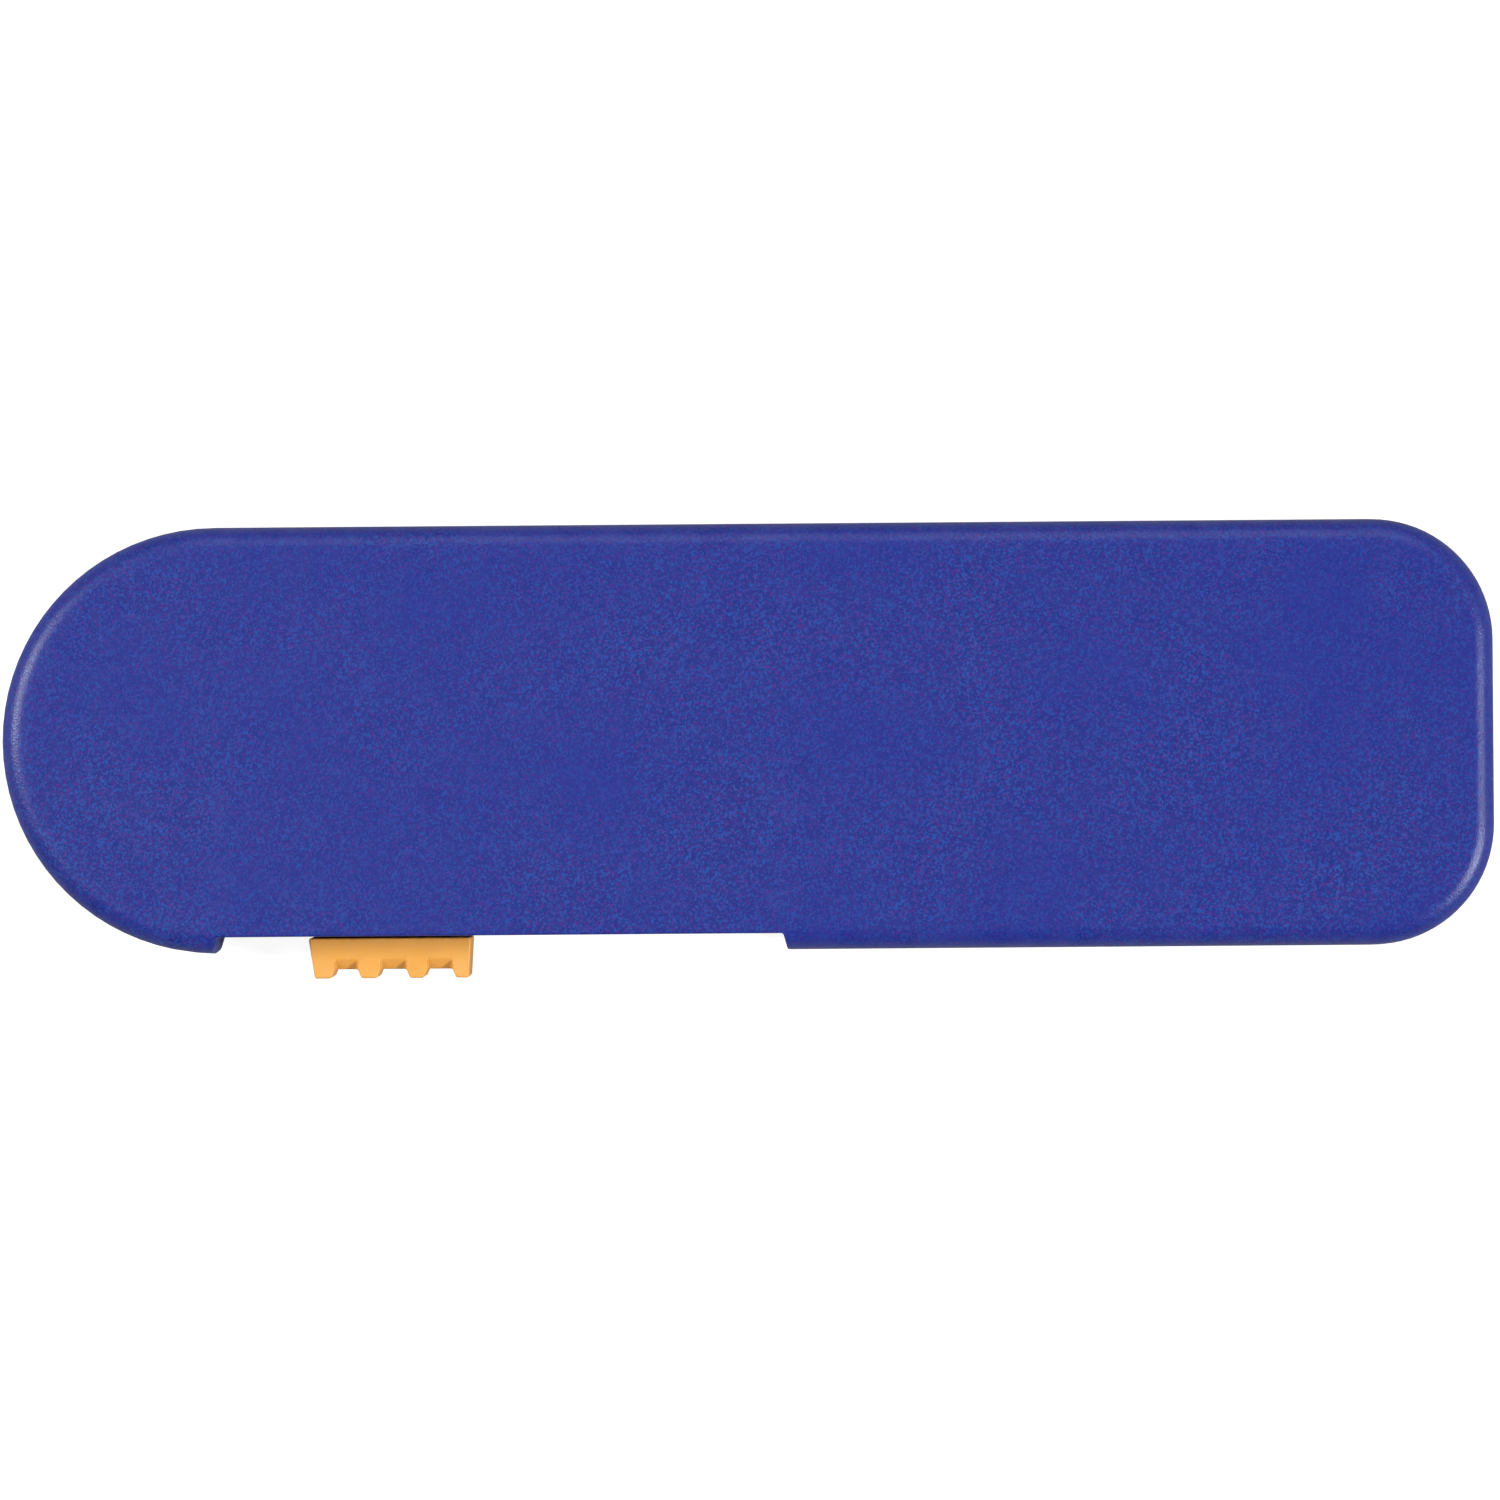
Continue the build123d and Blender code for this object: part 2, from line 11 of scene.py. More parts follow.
import bmesh
import bpy
import numpy as np
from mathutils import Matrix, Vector


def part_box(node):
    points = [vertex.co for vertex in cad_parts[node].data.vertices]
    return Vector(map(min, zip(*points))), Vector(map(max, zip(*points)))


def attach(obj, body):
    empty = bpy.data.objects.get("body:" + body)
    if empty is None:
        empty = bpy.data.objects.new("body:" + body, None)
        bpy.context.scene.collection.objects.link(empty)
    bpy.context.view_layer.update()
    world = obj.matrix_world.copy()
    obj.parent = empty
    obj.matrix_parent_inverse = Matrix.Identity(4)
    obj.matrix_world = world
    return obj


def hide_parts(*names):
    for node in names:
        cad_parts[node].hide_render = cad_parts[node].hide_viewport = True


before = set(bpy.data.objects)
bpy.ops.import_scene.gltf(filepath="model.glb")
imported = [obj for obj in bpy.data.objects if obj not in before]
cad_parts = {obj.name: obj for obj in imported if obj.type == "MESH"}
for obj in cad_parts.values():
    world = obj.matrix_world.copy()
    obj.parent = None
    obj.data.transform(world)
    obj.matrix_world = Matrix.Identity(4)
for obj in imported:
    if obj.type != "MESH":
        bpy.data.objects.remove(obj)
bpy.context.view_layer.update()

# %% [markdown]
# ## Sizes
# Blender works in metres, and a maker thinks in millimetres, so the surfaces below are worked out
# in millimetres and turned into metres in one place, where a mesh is made. What the frame can tell
# is read from it. The rest are the case's own small sizes: walls, radii and the thumb relief.

# %% Sizes in millimetres
MM = 0.001


def nearest(metres):
    """A length in metres as millimetres, to the nearest 0.05."""
    return round(metres / MM * 20) / 20


def box_mm(node):
    """The two corners of a CAD node's box, in millimetres, as arrays."""
    return [np.array([nearest(value) for value in corner]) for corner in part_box(node)]


BACK_LOW, BACK_HIGH = box_mm("back_shell")
GRIP_LOW, GRIP_HIGH = box_mm("thumb_grip")
HALF_LENGTH = -BACK_LOW[0]
HALF_WIDTH = BACK_HIGH[1]
SEAM_Z = BACK_HIGH[2]
HALF_DEPTH = box_mm("front_shell")[1][2] - SEAM_Z

WALL = 1.6
DRAFT = math.tan(math.radians(1.2))
FACE_EDGE_R = 1.5
MOUTH_CORNER_R = 8.2
SEAM_CHAMFER = 0.15
BUTT_X = -HALF_LENGTH + HALF_WIDTH
CORNER_X = HALF_LENGTH - MOUTH_CORNER_R
CORNER_Y = HALF_WIDTH - MOUTH_CORNER_R
MOUTH_HALF_WIDTH = 10.2
MOUTH_HALF_HEIGHT = 4.7
RELIEF = dict(start=-35.6, end=2.25, depth=1.2, lean=math.tan(math.radians(15)), wall=1.45)
RELIEF["inner_y"] = -HALF_WIDTH + RELIEF["depth"] + RELIEF["wall"]
SLOT = dict(start=-33.35, end=0.45, half=2.1)
print("case", 2 * HALF_LENGTH, "x", 2 * HALF_WIDTH, "x", 2 * HALF_DEPTH, "mm, seam at", SEAM_Z)

# %% [markdown]
# ## Camera
# The eraser is seen square on, from straight above its front face, so the camera looks down -Z
# with +Y up. A long lens from about 0.8 m keeps the sides of the case almost out of sight. The
# case lies turned by less than half a degree, which is a roll of the camera.

# %% Camera
VIEW_WIDTH = 0.10038  # of the picture, at the height of the face's rounded edge
VIEW_DISTANCE = 0.788
VIEW_CENTRE = (0.00013, -0.00090)
VIEW_ROLL = math.radians(-0.445)

camera_data = bpy.data.cameras.new("camera")
camera_data.sensor_width = 36.0
camera_data.lens = camera_data.sensor_width * VIEW_DISTANCE / VIEW_WIDTH
camera_data.clip_start = 0.01
camera = bpy.data.objects.new("camera", camera_data)
edge_height = (SEAM_Z + HALF_DEPTH - FACE_EDGE_R) * MM
camera.location = (*VIEW_CENTRE, VIEW_DISTANCE + edge_height)
camera.rotation_euler = (0.0, 0.0, VIEW_ROLL)
bpy.context.collection.objects.link(camera)
bpy.context.scene.camera = camera
print("lens", round(camera_data.lens), "mm")

# %% [markdown]
# ## Turning arrays into meshes
# Most surfaces here are grids: rings of points, each ring a closed line round the piece. One
# function joins neighbouring rings with quads, another puts points and faces into a mesh, merges
# the points that fall together, and lets the piece ride on its CAD body.

# %% Mesh helpers
MERGE = 1e-6  # metres
CREASE = math.radians(35)  # edges sharper than this are shaded as corners


def ring_faces(rings, stations):
    """Quads between neighbouring rings of a grid whose rings close on themselves."""
    index = np.arange(rings * stations).reshape(rings, stations)
    across = np.roll(index, -1, axis=1)
    return np.stack([index[:-1], index[1:], across[1:], across[:-1]], axis=-1).reshape(-1, 4)


def make_mesh(name, points_mm, faces, edge=None):
    """A mesh object from points in millimetres; edge is one number per point, how exposed it is."""
    mesh = bpy.data.meshes.new(name)
    points = np.asarray(points_mm, float).reshape(-1, 3) * MM
    mesh.from_pydata(points, [], [list(map(int, face)) for face in faces])
    exposed = mesh.attributes.new("edge", "FLOAT", "POINT")
    if edge is not None:
        exposed.data.foreach_set("value", np.asarray(edge, np.float32).ravel())
    clean(mesh)
    piece = bpy.data.objects.new(name, mesh)
    bpy.context.collection.objects.link(piece)
    return piece


def clean(mesh):
    """Merges points that fall together, drops empty faces and makes every face point outwards."""
    work = bmesh.new()
    work.from_mesh(mesh)
    bmesh.ops.remove_doubles(work, verts=work.verts, dist=MERGE)
    bmesh.ops.dissolve_degenerate(work, edges=work.edges, dist=MERGE / 4)
    bmesh.ops.recalc_face_normals(work, faces=work.faces)
    if work.calc_volume(signed=True) < 0:
        bmesh.ops.reverse_faces(work, faces=work.faces)
    work.to_mesh(mesh)
    work.free()
    mesh.shade_smooth()
    mesh.set_sharp_from_angle(angle=CREASE)


def soften(piece, width_mm, limit=50, segments=2):
    """Small rounds on the sharp edges, as a mould or a tumbler leaves them."""
    bevel = piece.modifiers.new("soft_edges", "BEVEL")
    bevel.width = width_mm * MM
    bevel.segments = segments
    bevel.limit_method = "ANGLE"
    bevel.angle_limit = math.radians(limit)
    bevel.use_clamp_overlap = False
    bevel.harden_normals = True
    return piece


def settle(piece):
    """Applies a piece's modifiers to its mesh."""
    seen = bpy.context.evaluated_depsgraph_get()
    mesh = bpy.data.meshes.new_from_object(piece.evaluated_get(seen))
    piece.modifiers.clear()
    piece.data = mesh
    return piece


def join(name, pieces):
    """Several pieces as one mesh."""
    work = bmesh.new()
    for piece in pieces:
        work.from_mesh(piece.data)
        bpy.data.objects.remove(piece)
    mesh = bpy.data.meshes.new(name)
    work.to_mesh(mesh)
    work.free()
    mesh.shade_smooth()
    mesh.set_sharp_from_angle(angle=CREASE)
    joined = bpy.data.objects.new(name, mesh)
    bpy.context.collection.objects.link(joined)
    return joined


def cut(piece, *tools):
    """Cuts the closed meshes of the tools out of a piece."""
    for tool in tools:
        cutter = piece.modifiers.new("cut", "BOOLEAN")
        cutter.operation = "DIFFERENCE"
        cutter.solver = "EXACT"
        cutter.object = tool
        settle(piece)
        bpy.data.objects.remove(tool)
    piece.data.shade_smooth()
    piece.data.set_sharp_from_angle(angle=CREASE)
    return piece


def place(piece, body, slot, material, *nodes):
    """Lets a finished piece ride on a body, stand for CAD nodes and take its material."""
    piece.data.materials.clear()
    piece.data.materials.append(material)
    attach(piece, body)
    if nodes:
        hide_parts(*nodes)
    print(piece.name, len(piece.data.polygons), "faces on", body)
    return piece


# %% [markdown]
# ## Prisms and turned shapes
# Ribs, rails and hooks are prisms: a flat outline pushed along Z. Screws, bosses and cutters are
# turned: a profile swung round a vertical axis. Both close themselves, so each is a solid.

# %% Prisms and turned shapes
def prism(name, outline, low, high, order=(0, 1, 2)):
    """A closed outline, N by 2, pushed from low to high along the third axis, with flat ends.

    order says which of (outline's first, outline's second, push) becomes x, y and z.
    """
    outline = np.asarray(outline, float)
    count = len(outline)
    rings = [np.column_stack([outline, np.full(count, height)]) for height in (low, high)]
    faces = [*ring_faces(2, count), np.arange(count), np.arange(count, 2 * count)]
    return make_mesh(name, np.vstack(rings)[:, list(order)], faces)


def block(x0, x1, y0, y1):
    """Outline of a rectangle in plan."""
    return [(x0, y0), (x1, y0), (x1, y1), (x0, y1)]


def turned(name, profile, centre, steps=48):
    """A profile of (radius, height) points swung round a vertical axis through centre."""
    profile = np.asarray(profile, float)
    turn = np.linspace(0, 2 * np.pi, steps, endpoint=False)
    points = np.stack(
        [
            centre[0] + profile[:, :1] * np.cos(turn),
            centre[1] + profile[:, :1] * np.sin(turn),
            np.repeat(profile[:, 1:], steps, axis=1),
        ],
        axis=-1,
    )
    return make_mesh(name, points, ring_faces(len(profile), steps))


# %% [markdown]
# ## Shader groups
# Three effects come back in several materials, so each is a node group with named inputs and
# outputs: the fine grain of a spark-eroded mould, the polish that handling gives to exposed
# edges, and chalk dust. They put out only masks and heights; each material decides what to do
# with them. All patterns read the object's own coordinates, which are metres in the frame.

# %% Shader groups
def new_group(name, inputs, outputs):
    """An empty shader group: inputs are (name, kind, default), outputs (name, kind)."""
    group = bpy.data.node_groups.new(name, "ShaderNodeTree")
    for label, kind, default in inputs:
        socket = group.interface.new_socket(label, in_out="INPUT", socket_type="NodeSocket" + kind)
        if default is not None:
            socket.default_value = default
    for label, kind in outputs:
        group.interface.new_socket(label, in_out="OUTPUT", socket_type="NodeSocket" + kind)
    return group, group.nodes.new("NodeGroupInput"), group.nodes.new("NodeGroupOutput")


def feed(tree, node, inputs):
    """Each named input of a node set to a value or joined to a socket."""
    for key, value in inputs.items():
        if isinstance(value, bpy.types.NodeSocket):
            tree.links.new(value, node.inputs[key])
        else:
            node.inputs[key].default_value = value


def add_node(tree, kind, inputs=(), **settings):
    """A node with its settings, its named inputs set to a value or joined to a socket."""
    made = tree.nodes.new("ShaderNode" + kind)
    for key, value in settings.items():
        setattr(made, key, value)
    feed(tree, made, dict(inputs))
    return made


def noise(tree, vector, per_mm, detail=2.0, roughness=0.5, distortion=0.0):
    """Noise with so many features to the millimetre, from 0 to 1."""
    inputs = {"Vector": vector, "Scale": per_mm / MM, "Detail": detail, "Roughness": roughness}
    return add_node(tree, "TexNoise", {**inputs, "Distortion": distortion}).outputs["Fac"]


def math_node(tree, operation, *values, clamp=False):
    """One step of arithmetic on sockets or numbers."""
    return add_node(tree, "Math", dict(enumerate(values)), operation=operation, use_clamp=clamp).outputs[0]


def remap(tree, value, low, high, to_low=0.0, to_high=1.0):
    """Straight-line rescale of a value from one span to another, held at its ends."""
    inputs = {"Value": value, "From Min": low, "From Max": high, "To Min": to_low, "To Max": to_high}
    return add_node(tree, "MapRange", inputs).outputs["Result"]


def mix_colour(tree, factor, first, second):
    """Two colours mixed by a factor; a plain colour is (red, green, blue)."""
    first, second = ((*value, 1.0) if isinstance(value, tuple) else value for value in (first, second))
    return add_node(tree, "Mix", {"Factor": factor, 6: first, 7: second}, data_type="RGBA").outputs[2]


def make_grain_group():
    """Grain: a height of fine round bumps, two kinds of fleck, and a slow cloud of unevenness."""
    group, take, give = new_group(
        "moulded_grain",
        [("Vector", "Vector", None), ("Grains per mm", "Float", 4.0)],
        [("Height", "Float"), ("Warm Fleck", "Float"), ("Cool Fleck", "Float"), ("Cloud", "Float")],
    )
    scale = math_node(group, "MULTIPLY", take.outputs["Grains per mm"], 1.0 / MM)
    here = {"Vector": take.outputs["Vector"], "Scale": scale}
    cells = add_node(group, "TexVoronoi", {**here, "Randomness": 1.0})
    fine = add_node(group, "TexNoise", {**here, "Detail": 3.0, "Roughness": 0.6})
    pits = math_node(group, "MULTIPLY", cells.outputs["Distance"], 0.6)
    bumps = math_node(group, "ADD", pits, fine.outputs["Fac"])
    tint = add_node(group, "SeparateColor", {"Color": cells.outputs["Color"]})
    group.links.new(math_node(group, "MULTIPLY", bumps, 0.6), give.inputs["Height"])
    group.links.new(remap(group, tint.outputs["Red"], 0.62, 0.95), give.inputs["Warm Fleck"])
    group.links.new(remap(group, tint.outputs["Green"], 0.58, 0.95), give.inputs["Cool Fleck"])
    slow = noise(group, take.outputs["Vector"], 0.09, 4.0, 0.62)
    group.links.new(remap(group, slow, 0.3, 0.7), give.inputs["Cloud"])
    return group


def make_wear_group():
    """Wear, and on the thumb grip painted light as well: where the piece's edge attribute is high, broken up
    by noise, plus a few fine scuffs.
    """
    group, take, give = new_group(
        "edge_wear",
        [("Vector", "Vector", None), ("Edge", "Float", 0.0), ("Amount", "Float", 0.5)],
        [("Worn And Lit", "Float"), ("Scuff", "Float")],
    )
    patches = remap(group, noise(group, take.outputs["Vector"], 0.5, 5.0, 0.6), 0.35, 0.7)
    worn_and_lit = math_node(group, "MULTIPLY", take.outputs["Edge"], patches)
    worn_and_lit = math_node(group, "MULTIPLY", worn_and_lit, take.outputs["Amount"], clamp=True)
    stretched = add_node(group, "Mapping", {"Vector": take.outputs["Vector"], "Scale": (1.0, 9.0, 9.0)})
    stretched.inputs["Rotation"].default_value = (0.0, 0.0, 0.32)
    scuffs = remap(group, noise(group, stretched.outputs["Vector"], 0.11, 2.0, 0.55, 1.2), 0.66, 0.74)
    rare = remap(group, noise(group, take.outputs["Vector"], 0.06, 1.0), 0.52, 0.66)
    group.links.new(worn_and_lit, give.inputs["Worn And Lit"])
    group.links.new(math_node(group, "MULTIPLY", scuffs, rare), give.inputs["Scuff"])
    return group


def make_dust_group():
    """Chalk dust: soft clouds with fine crumbs in them, more of both as Amount goes up."""
    group, take, give = new_group(
        "chalk_dust", [("Vector", "Vector", None), ("Amount", "Float", 0.3)], [("Dust", "Float")]
    )
    cloud = remap(group, noise(group, take.outputs["Vector"], 0.35, 5.0, 0.65), 0.35, 0.75)
    crumbs = remap(group, noise(group, take.outputs["Vector"], 6.0, 3.0, 0.7), 0.45, 0.75)
    soft = math_node(group, "MULTIPLY", cloud, 0.7)
    mixed = math_node(group, "ADD", soft, math_node(group, "MULTIPLY", crumbs, 0.5))
    dust = math_node(group, "MULTIPLY", mixed, take.outputs["Amount"], clamp=True)
    group.links.new(dust, give.inputs["Dust"])
    return group


GRAIN = make_grain_group()
WEAR = make_wear_group()
DUST = make_dust_group()
print("shader groups:", GRAIN.name, WEAR.name, DUST.name)


def start_material(name, **shader):
    """A material with its Principled shader, its object coordinates and plain shader values."""
    material = bpy.data.materials.new(name)
    material.use_nodes = True
    tree = material.node_tree
    surface = tree.nodes["Principled BSDF"]
    for key, value in shader.items():
        surface.inputs[key.replace("_", " ")].default_value = value
    return material, tree, surface, tree.nodes.new("ShaderNodeTexCoord").outputs["Object"]


def use_group(tree, group, inputs):
    """A shader group placed in a material."""
    node = tree.nodes.new("ShaderNodeGroup")
    node.node_tree = group
    feed(tree, node, inputs)
    return node.outputs


def edge_value(tree):
    """The piece's own edge attribute."""
    return add_node(tree, "Attribute", attribute_name="edge").outputs["Fac"]


def finish_material(tree, surface, colour, roughness, height, depth_mm, strength=1.0):
    """Joins colour, roughness and a bump of a stated depth to the shader."""
    bump = add_node(tree, "Bump", {"Height": height, "Distance": depth_mm * MM, "Strength": strength})
    tree.links.new(colour, surface.inputs["Base Color"])
    tree.links.new(roughness, surface.inputs["Roughness"])
    tree.links.new(bump.outputs["Normal"], surface.inputs["Normal"])


# %% [markdown]
# ## Moulded plastics
# The case is deep blue ABS from a spark-eroded mould: matte, with a fine grain that catches light
# as violet and lighter blue flecks, clouded a little where hands have been, and polished on its
# rounded edge. The thumb grip is orange, from a smoother mould, and painted lighter towards its rib
# tips: partly rubbed wear, partly painted light for the shade that falls nearer the case. The
# carriage inside is a plain dark grey plastic.

# %% Plastic materials
def moulded_plastic(name, colour, warm, cool, worn_and_lit, grains, flecks, rough, wear, dust, bump_mm):
    """Matte plastic: base colour with two flecks, slow clouds, worn edges, which on the thumb grip also carry
    painted light, and a trace of dust.
    """
    material, tree, surface, here = start_material(name, Specular_IOR_Level=0.45, IOR=1.5)
    grain = use_group(tree, GRAIN, {"Vector": here, "Grains per mm": grains})
    used = use_group(tree, WEAR, {"Vector": here, "Edge": edge_value(tree), "Amount": wear})
    chalk = use_group(tree, DUST, {"Vector": here, "Amount": dust})
    tone = mix_colour(tree, math_node(tree, "MULTIPLY", grain["Warm Fleck"], flecks), colour, warm)
    tone = mix_colour(tree, math_node(tree, "MULTIPLY", grain["Cool Fleck"], flecks), tone, cool)
    lighter = tuple(min(1.0, 1.25 * value + 0.003) for value in colour)
    tone = mix_colour(tree, math_node(tree, "MULTIPLY", grain["Cloud"], 0.7), tone, lighter)
    # The worn colour goes where the wear mask is high; on the thumb grip that mask is also painted light,
    # lighter towards the rib tips.
    tone = mix_colour(tree, used["Worn And Lit"], tone, worn_and_lit)
    tone = mix_colour(tree, math_node(tree, "MULTIPLY", used["Scuff"], 0.25), tone, worn_and_lit)
    tone = mix_colour(tree, chalk["Dust"], tone, (0.62, 0.63, 0.66))
    roughness = remap(tree, grain["Cloud"], 0.0, 1.0, rough + 0.03, rough - 0.03)
    roughness = math_node(tree, "SUBTRACT", roughness, math_node(tree, "MULTIPLY", used["Worn And Lit"], 0.14))
    finish_material(tree, surface, tone, roughness, grain["Height"], bump_mm)
    return material


CASE_BLUE = moulded_plastic(
    "case_blue",
    colour=(0.0028, 0.0130, 0.197),
    warm=(0.064, 0.013, 0.225),
    cool=(0.0060, 0.068, 0.345),
    worn_and_lit=(0.040, 0.052, 0.300),
    grains=8.0,
    flecks=0.95,
    rough=0.37,
    wear=0.45,
    dust=0.012,
    bump_mm=0.03,
)
GRIP_ORANGE = moulded_plastic(
    "grip_orange",
    colour=(0.815, 0.368, 0.058),
    warm=(0.800, 0.300, 0.060),
    cool=(0.800, 0.420, 0.140),
    # The rib tips are painted this lighter orange: rubbed wear and painted light together.
    worn_and_lit=(0.860, 0.500, 0.200),
    grains=5.0,
    flecks=0.3,
    rough=0.42,
    wear=0.5,
    dust=0.02,
    bump_mm=0.012,
)
CARRIAGE_GREY = moulded_plastic(
    "carriage_grey",
    colour=(0.055, 0.057, 0.062),
    warm=(0.070, 0.066, 0.066),
    cool=(0.050, 0.060, 0.070),
    worn_and_lit=(0.120, 0.120, 0.130),
    grains=3.0,
    flecks=0.4,
    rough=0.40,
    wear=0.2,
    dust=0.10,
    bump_mm=0.008,
)
print("plastics:", CASE_BLUE.name, GRIP_ORANGE.name, CARRIAGE_GREY.name)

# %% [markdown]
# ## Steel and felt
# The screws, rivets and spring are steel: bright zinc with fine tool marks. The felt is pressed
# charcoal wool. Its fibres show as a tangle of stretched noise, and the front, which meets the
# board, is grey with chalk.

# %% Steel and felt materials
def plated_steel(name, colour, marks, rough):
    """Steel with fine marks that run along one axis and a few darker stains."""
    material, tree, surface, here = start_material(name, Metallic=1.0)
    stretched = add_node(tree, "Mapping", {"Vector": here, "Scale": marks})
    lines = noise(tree, stretched.outputs["Vector"], 6.0, 3.0, 0.6)
    stain = remap(tree, noise(tree, here, 0.9, 4.0, 0.6), 0.5, 0.72)
    tone = mix_colour(tree, math_node(tree, "MULTIPLY", stain, 0.35), colour, (0.24, 0.23, 0.21))
    roughness = remap(tree, lines, 0.3, 0.7, rough - 0.06, rough + 0.1)
    finish_material(tree, surface, tone, roughness, lines, 0.004)
    return material


STRAND_LAYS = ((0.5, (0.6, 4.5, 2.5)), (2.2, (4.5, 0.6, 2.5)), (1.2, (1.8, 1.8, 5.0)))  # turn, stretch
CHALK_WHITE = (0.60, 0.60, 0.58)


def pressed_felt(name, colour, light):
    """Felt: fibres tangled three ways, lighter strands, and chalk caught where edge is high."""
    material, tree, surface, here = start_material(name, Sheen_Weight=0.3, Sheen_Roughness=0.5)
    surface.inputs["Sheen Tint"].default_value = (0.8, 0.8, 0.82, 1.0)
    swirl = add_node(tree, "TexNoise", {"Vector": here, "Scale": 0.8 / MM, "Detail": 2.0})
    bent = add_node(tree, "Mix", {"Factor": 0.0008}, data_type="VECTOR")
    tree.links.new(here, bent.inputs[4])
    tree.links.new(swirl.outputs["Color"], bent.inputs[5])
    strands = []
    for turn, stretch in STRAND_LAYS:
        lay = {"Vector": bent.outputs[1], "Scale": stretch, "Rotation": (turn, 0.3, turn)}
        fine = noise(tree, add_node(tree, "Mapping", lay).outputs["Vector"], 0.9, 3.0, 0.7)
        off_middle = math_node(tree, "ABSOLUTE", math_node(tree, "SUBTRACT", fine, 0.5))
        strands.append(math_node(tree, "SUBTRACT", 1.0, off_middle))
    tangle = math_node(tree, "MAXIMUM", math_node(tree, "MAXIMUM", strands[0], strands[1]), strands[2])
    thread = remap(tree, tangle, 0.965, 0.998)
    tone = mix_colour(tree, thread, colour, light)
    chalk = use_group(tree, DUST, {"Vector": here, "Amount": 1.0})
    caught = math_node(tree, "MULTIPLY", chalk["Dust"], remap(tree, edge_value(tree), 0.0, 1.0, 0.05, 0.9))
    caught = math_node(tree, "MULTIPLY", caught, remap(tree, thread, 0.0, 1.0, 0.45, 1.0), clamp=True)
    tone = mix_colour(tree, caught, tone, CHALK_WHITE)
    finish_material(tree, surface, tone, remap(tree, thread, 0.0, 1.0, 1.0, 0.85), thread, 0.10, 0.9)
    return material


ZINC = plated_steel("zinc_screw", (0.62, 0.62, 0.60), (1.0, 8.0, 8.0), 0.32)
SPRING_STEEL = plated_steel("rolled_steel", (0.50, 0.50, 0.49), (1.0, 10.0, 10.0), 0.26)
FELT = pressed_felt("wool_felt", (0.022, 0.023, 0.025), (0.210, 0.215, 0.225))
print("steel and felt:", ZINC.name, SPRING_STEEL.name, FELT.name)

# %% [markdown]
# ## The case's skin
# Each shell is one closed surface with two parameters. The first runs round the plan of the case,
# station by station. The second runs as rings from the middle of the outer face over its rounded
# edge, down the side wall, across the seam and back along the inside. Cutting the openings out
# would leave ragged faces, so they are part of the grid: where an opening starts there are two
# stations at one place, one on each side of its edge, and the rings between them make its cheek.

# %% Stations round the case
COLUMNS = ("x", "y", "in_x", "in_y", "inner_x", "inner_y", "middle", "depth", "lean", "low", "lip")
INNER_CORNER_R = MOUTH_CORNER_R - WALL
SLOT_LOW = SLOT["half"]
MOUTH_LOW = MOUTH_HALF_HEIGHT
RELIEF_WALL_START, RELIEF_WALL_END = RELIEF["start"] - RELIEF["wall"], RELIEF["end"] + RELIEF["wall"]
LIP_START, LIP_END, LIP_END_MOUTH = RELIEF["start"] - 3.0, RELIEF["end"] + 3.0, 55.0  # mm, mm, degrees


def butt_turn(x):
    """Degrees round the butt end, on the relief's side, at which its outline has this x."""
    return 360.0 - math.degrees(math.acos((x - BUTT_X) / HALF_WIDTH))


def stations(**columns):
    """Rows of the station table: each column a number or an array; those not named are 0."""
    count = max(np.size(value) for value in columns.values())
    return np.column_stack([np.broadcast_to(columns.get(name, 0.0), count) for name in COLUMNS])


def arc(centre, outer_r, inner_r, outer_turn, inner_turn=None, **more):
    """Stations on an arc: outline point, direction inwards and inner point at the given degrees."""
    outer = np.radians(np.atleast_1d(outer_turn))
    inner = outer if inner_turn is None else np.radians(np.atleast_1d(inner_turn))
    return stations(
        x=centre[0] + outer_r * np.cos(outer),
        y=centre[1] + outer_r * np.sin(outer),
        in_x=-np.cos(outer),
        in_y=-np.sin(outer),
        inner_x=centre[0] + inner_r * np.cos(inner),
        inner_y=centre[1] + inner_r * np.sin(inner),
        middle=centre[0],
        **more,
    )


def side(x, sign, inner_y=HALF_WIDTH - WALL, **more):
    """Stations on a straight side, sign -1 for the side with the relief and 1 for the other."""
    x = np.atleast_1d(np.asarray(x, float))
    return stations(x=x, y=sign * HALF_WIDTH, in_y=-sign, inner_x=x, inner_y=sign * inner_y, middle=x, **more)


def spread(start, end, step):
    """Evenly spaced numbers from start to end, about a step apart."""
    return np.linspace(start, end, max(2, int(round(abs(end - start) / step)) + 1))


def relief_stations():
    """The relief: leaning end walls, a floor set in by its depth, and the slot's two cheeks."""
    deep = dict(inner_y=-RELIEF["inner_y"], depth=RELIEF["depth"])
    start, end = RELIEF["start"], RELIEF["end"]
    return [
        side(start, -1, inner_y=-RELIEF["inner_y"], lean=-1.0),
        side([start, SLOT["start"]], -1, **deep),
        side(spread(SLOT["start"], SLOT["end"], 2.0), -1, low=SLOT_LOW, **deep),
        side([SLOT["end"], end], -1, **deep),
        side(end, -1, inner_y=-RELIEF["inner_y"], lean=1.0),
    ]


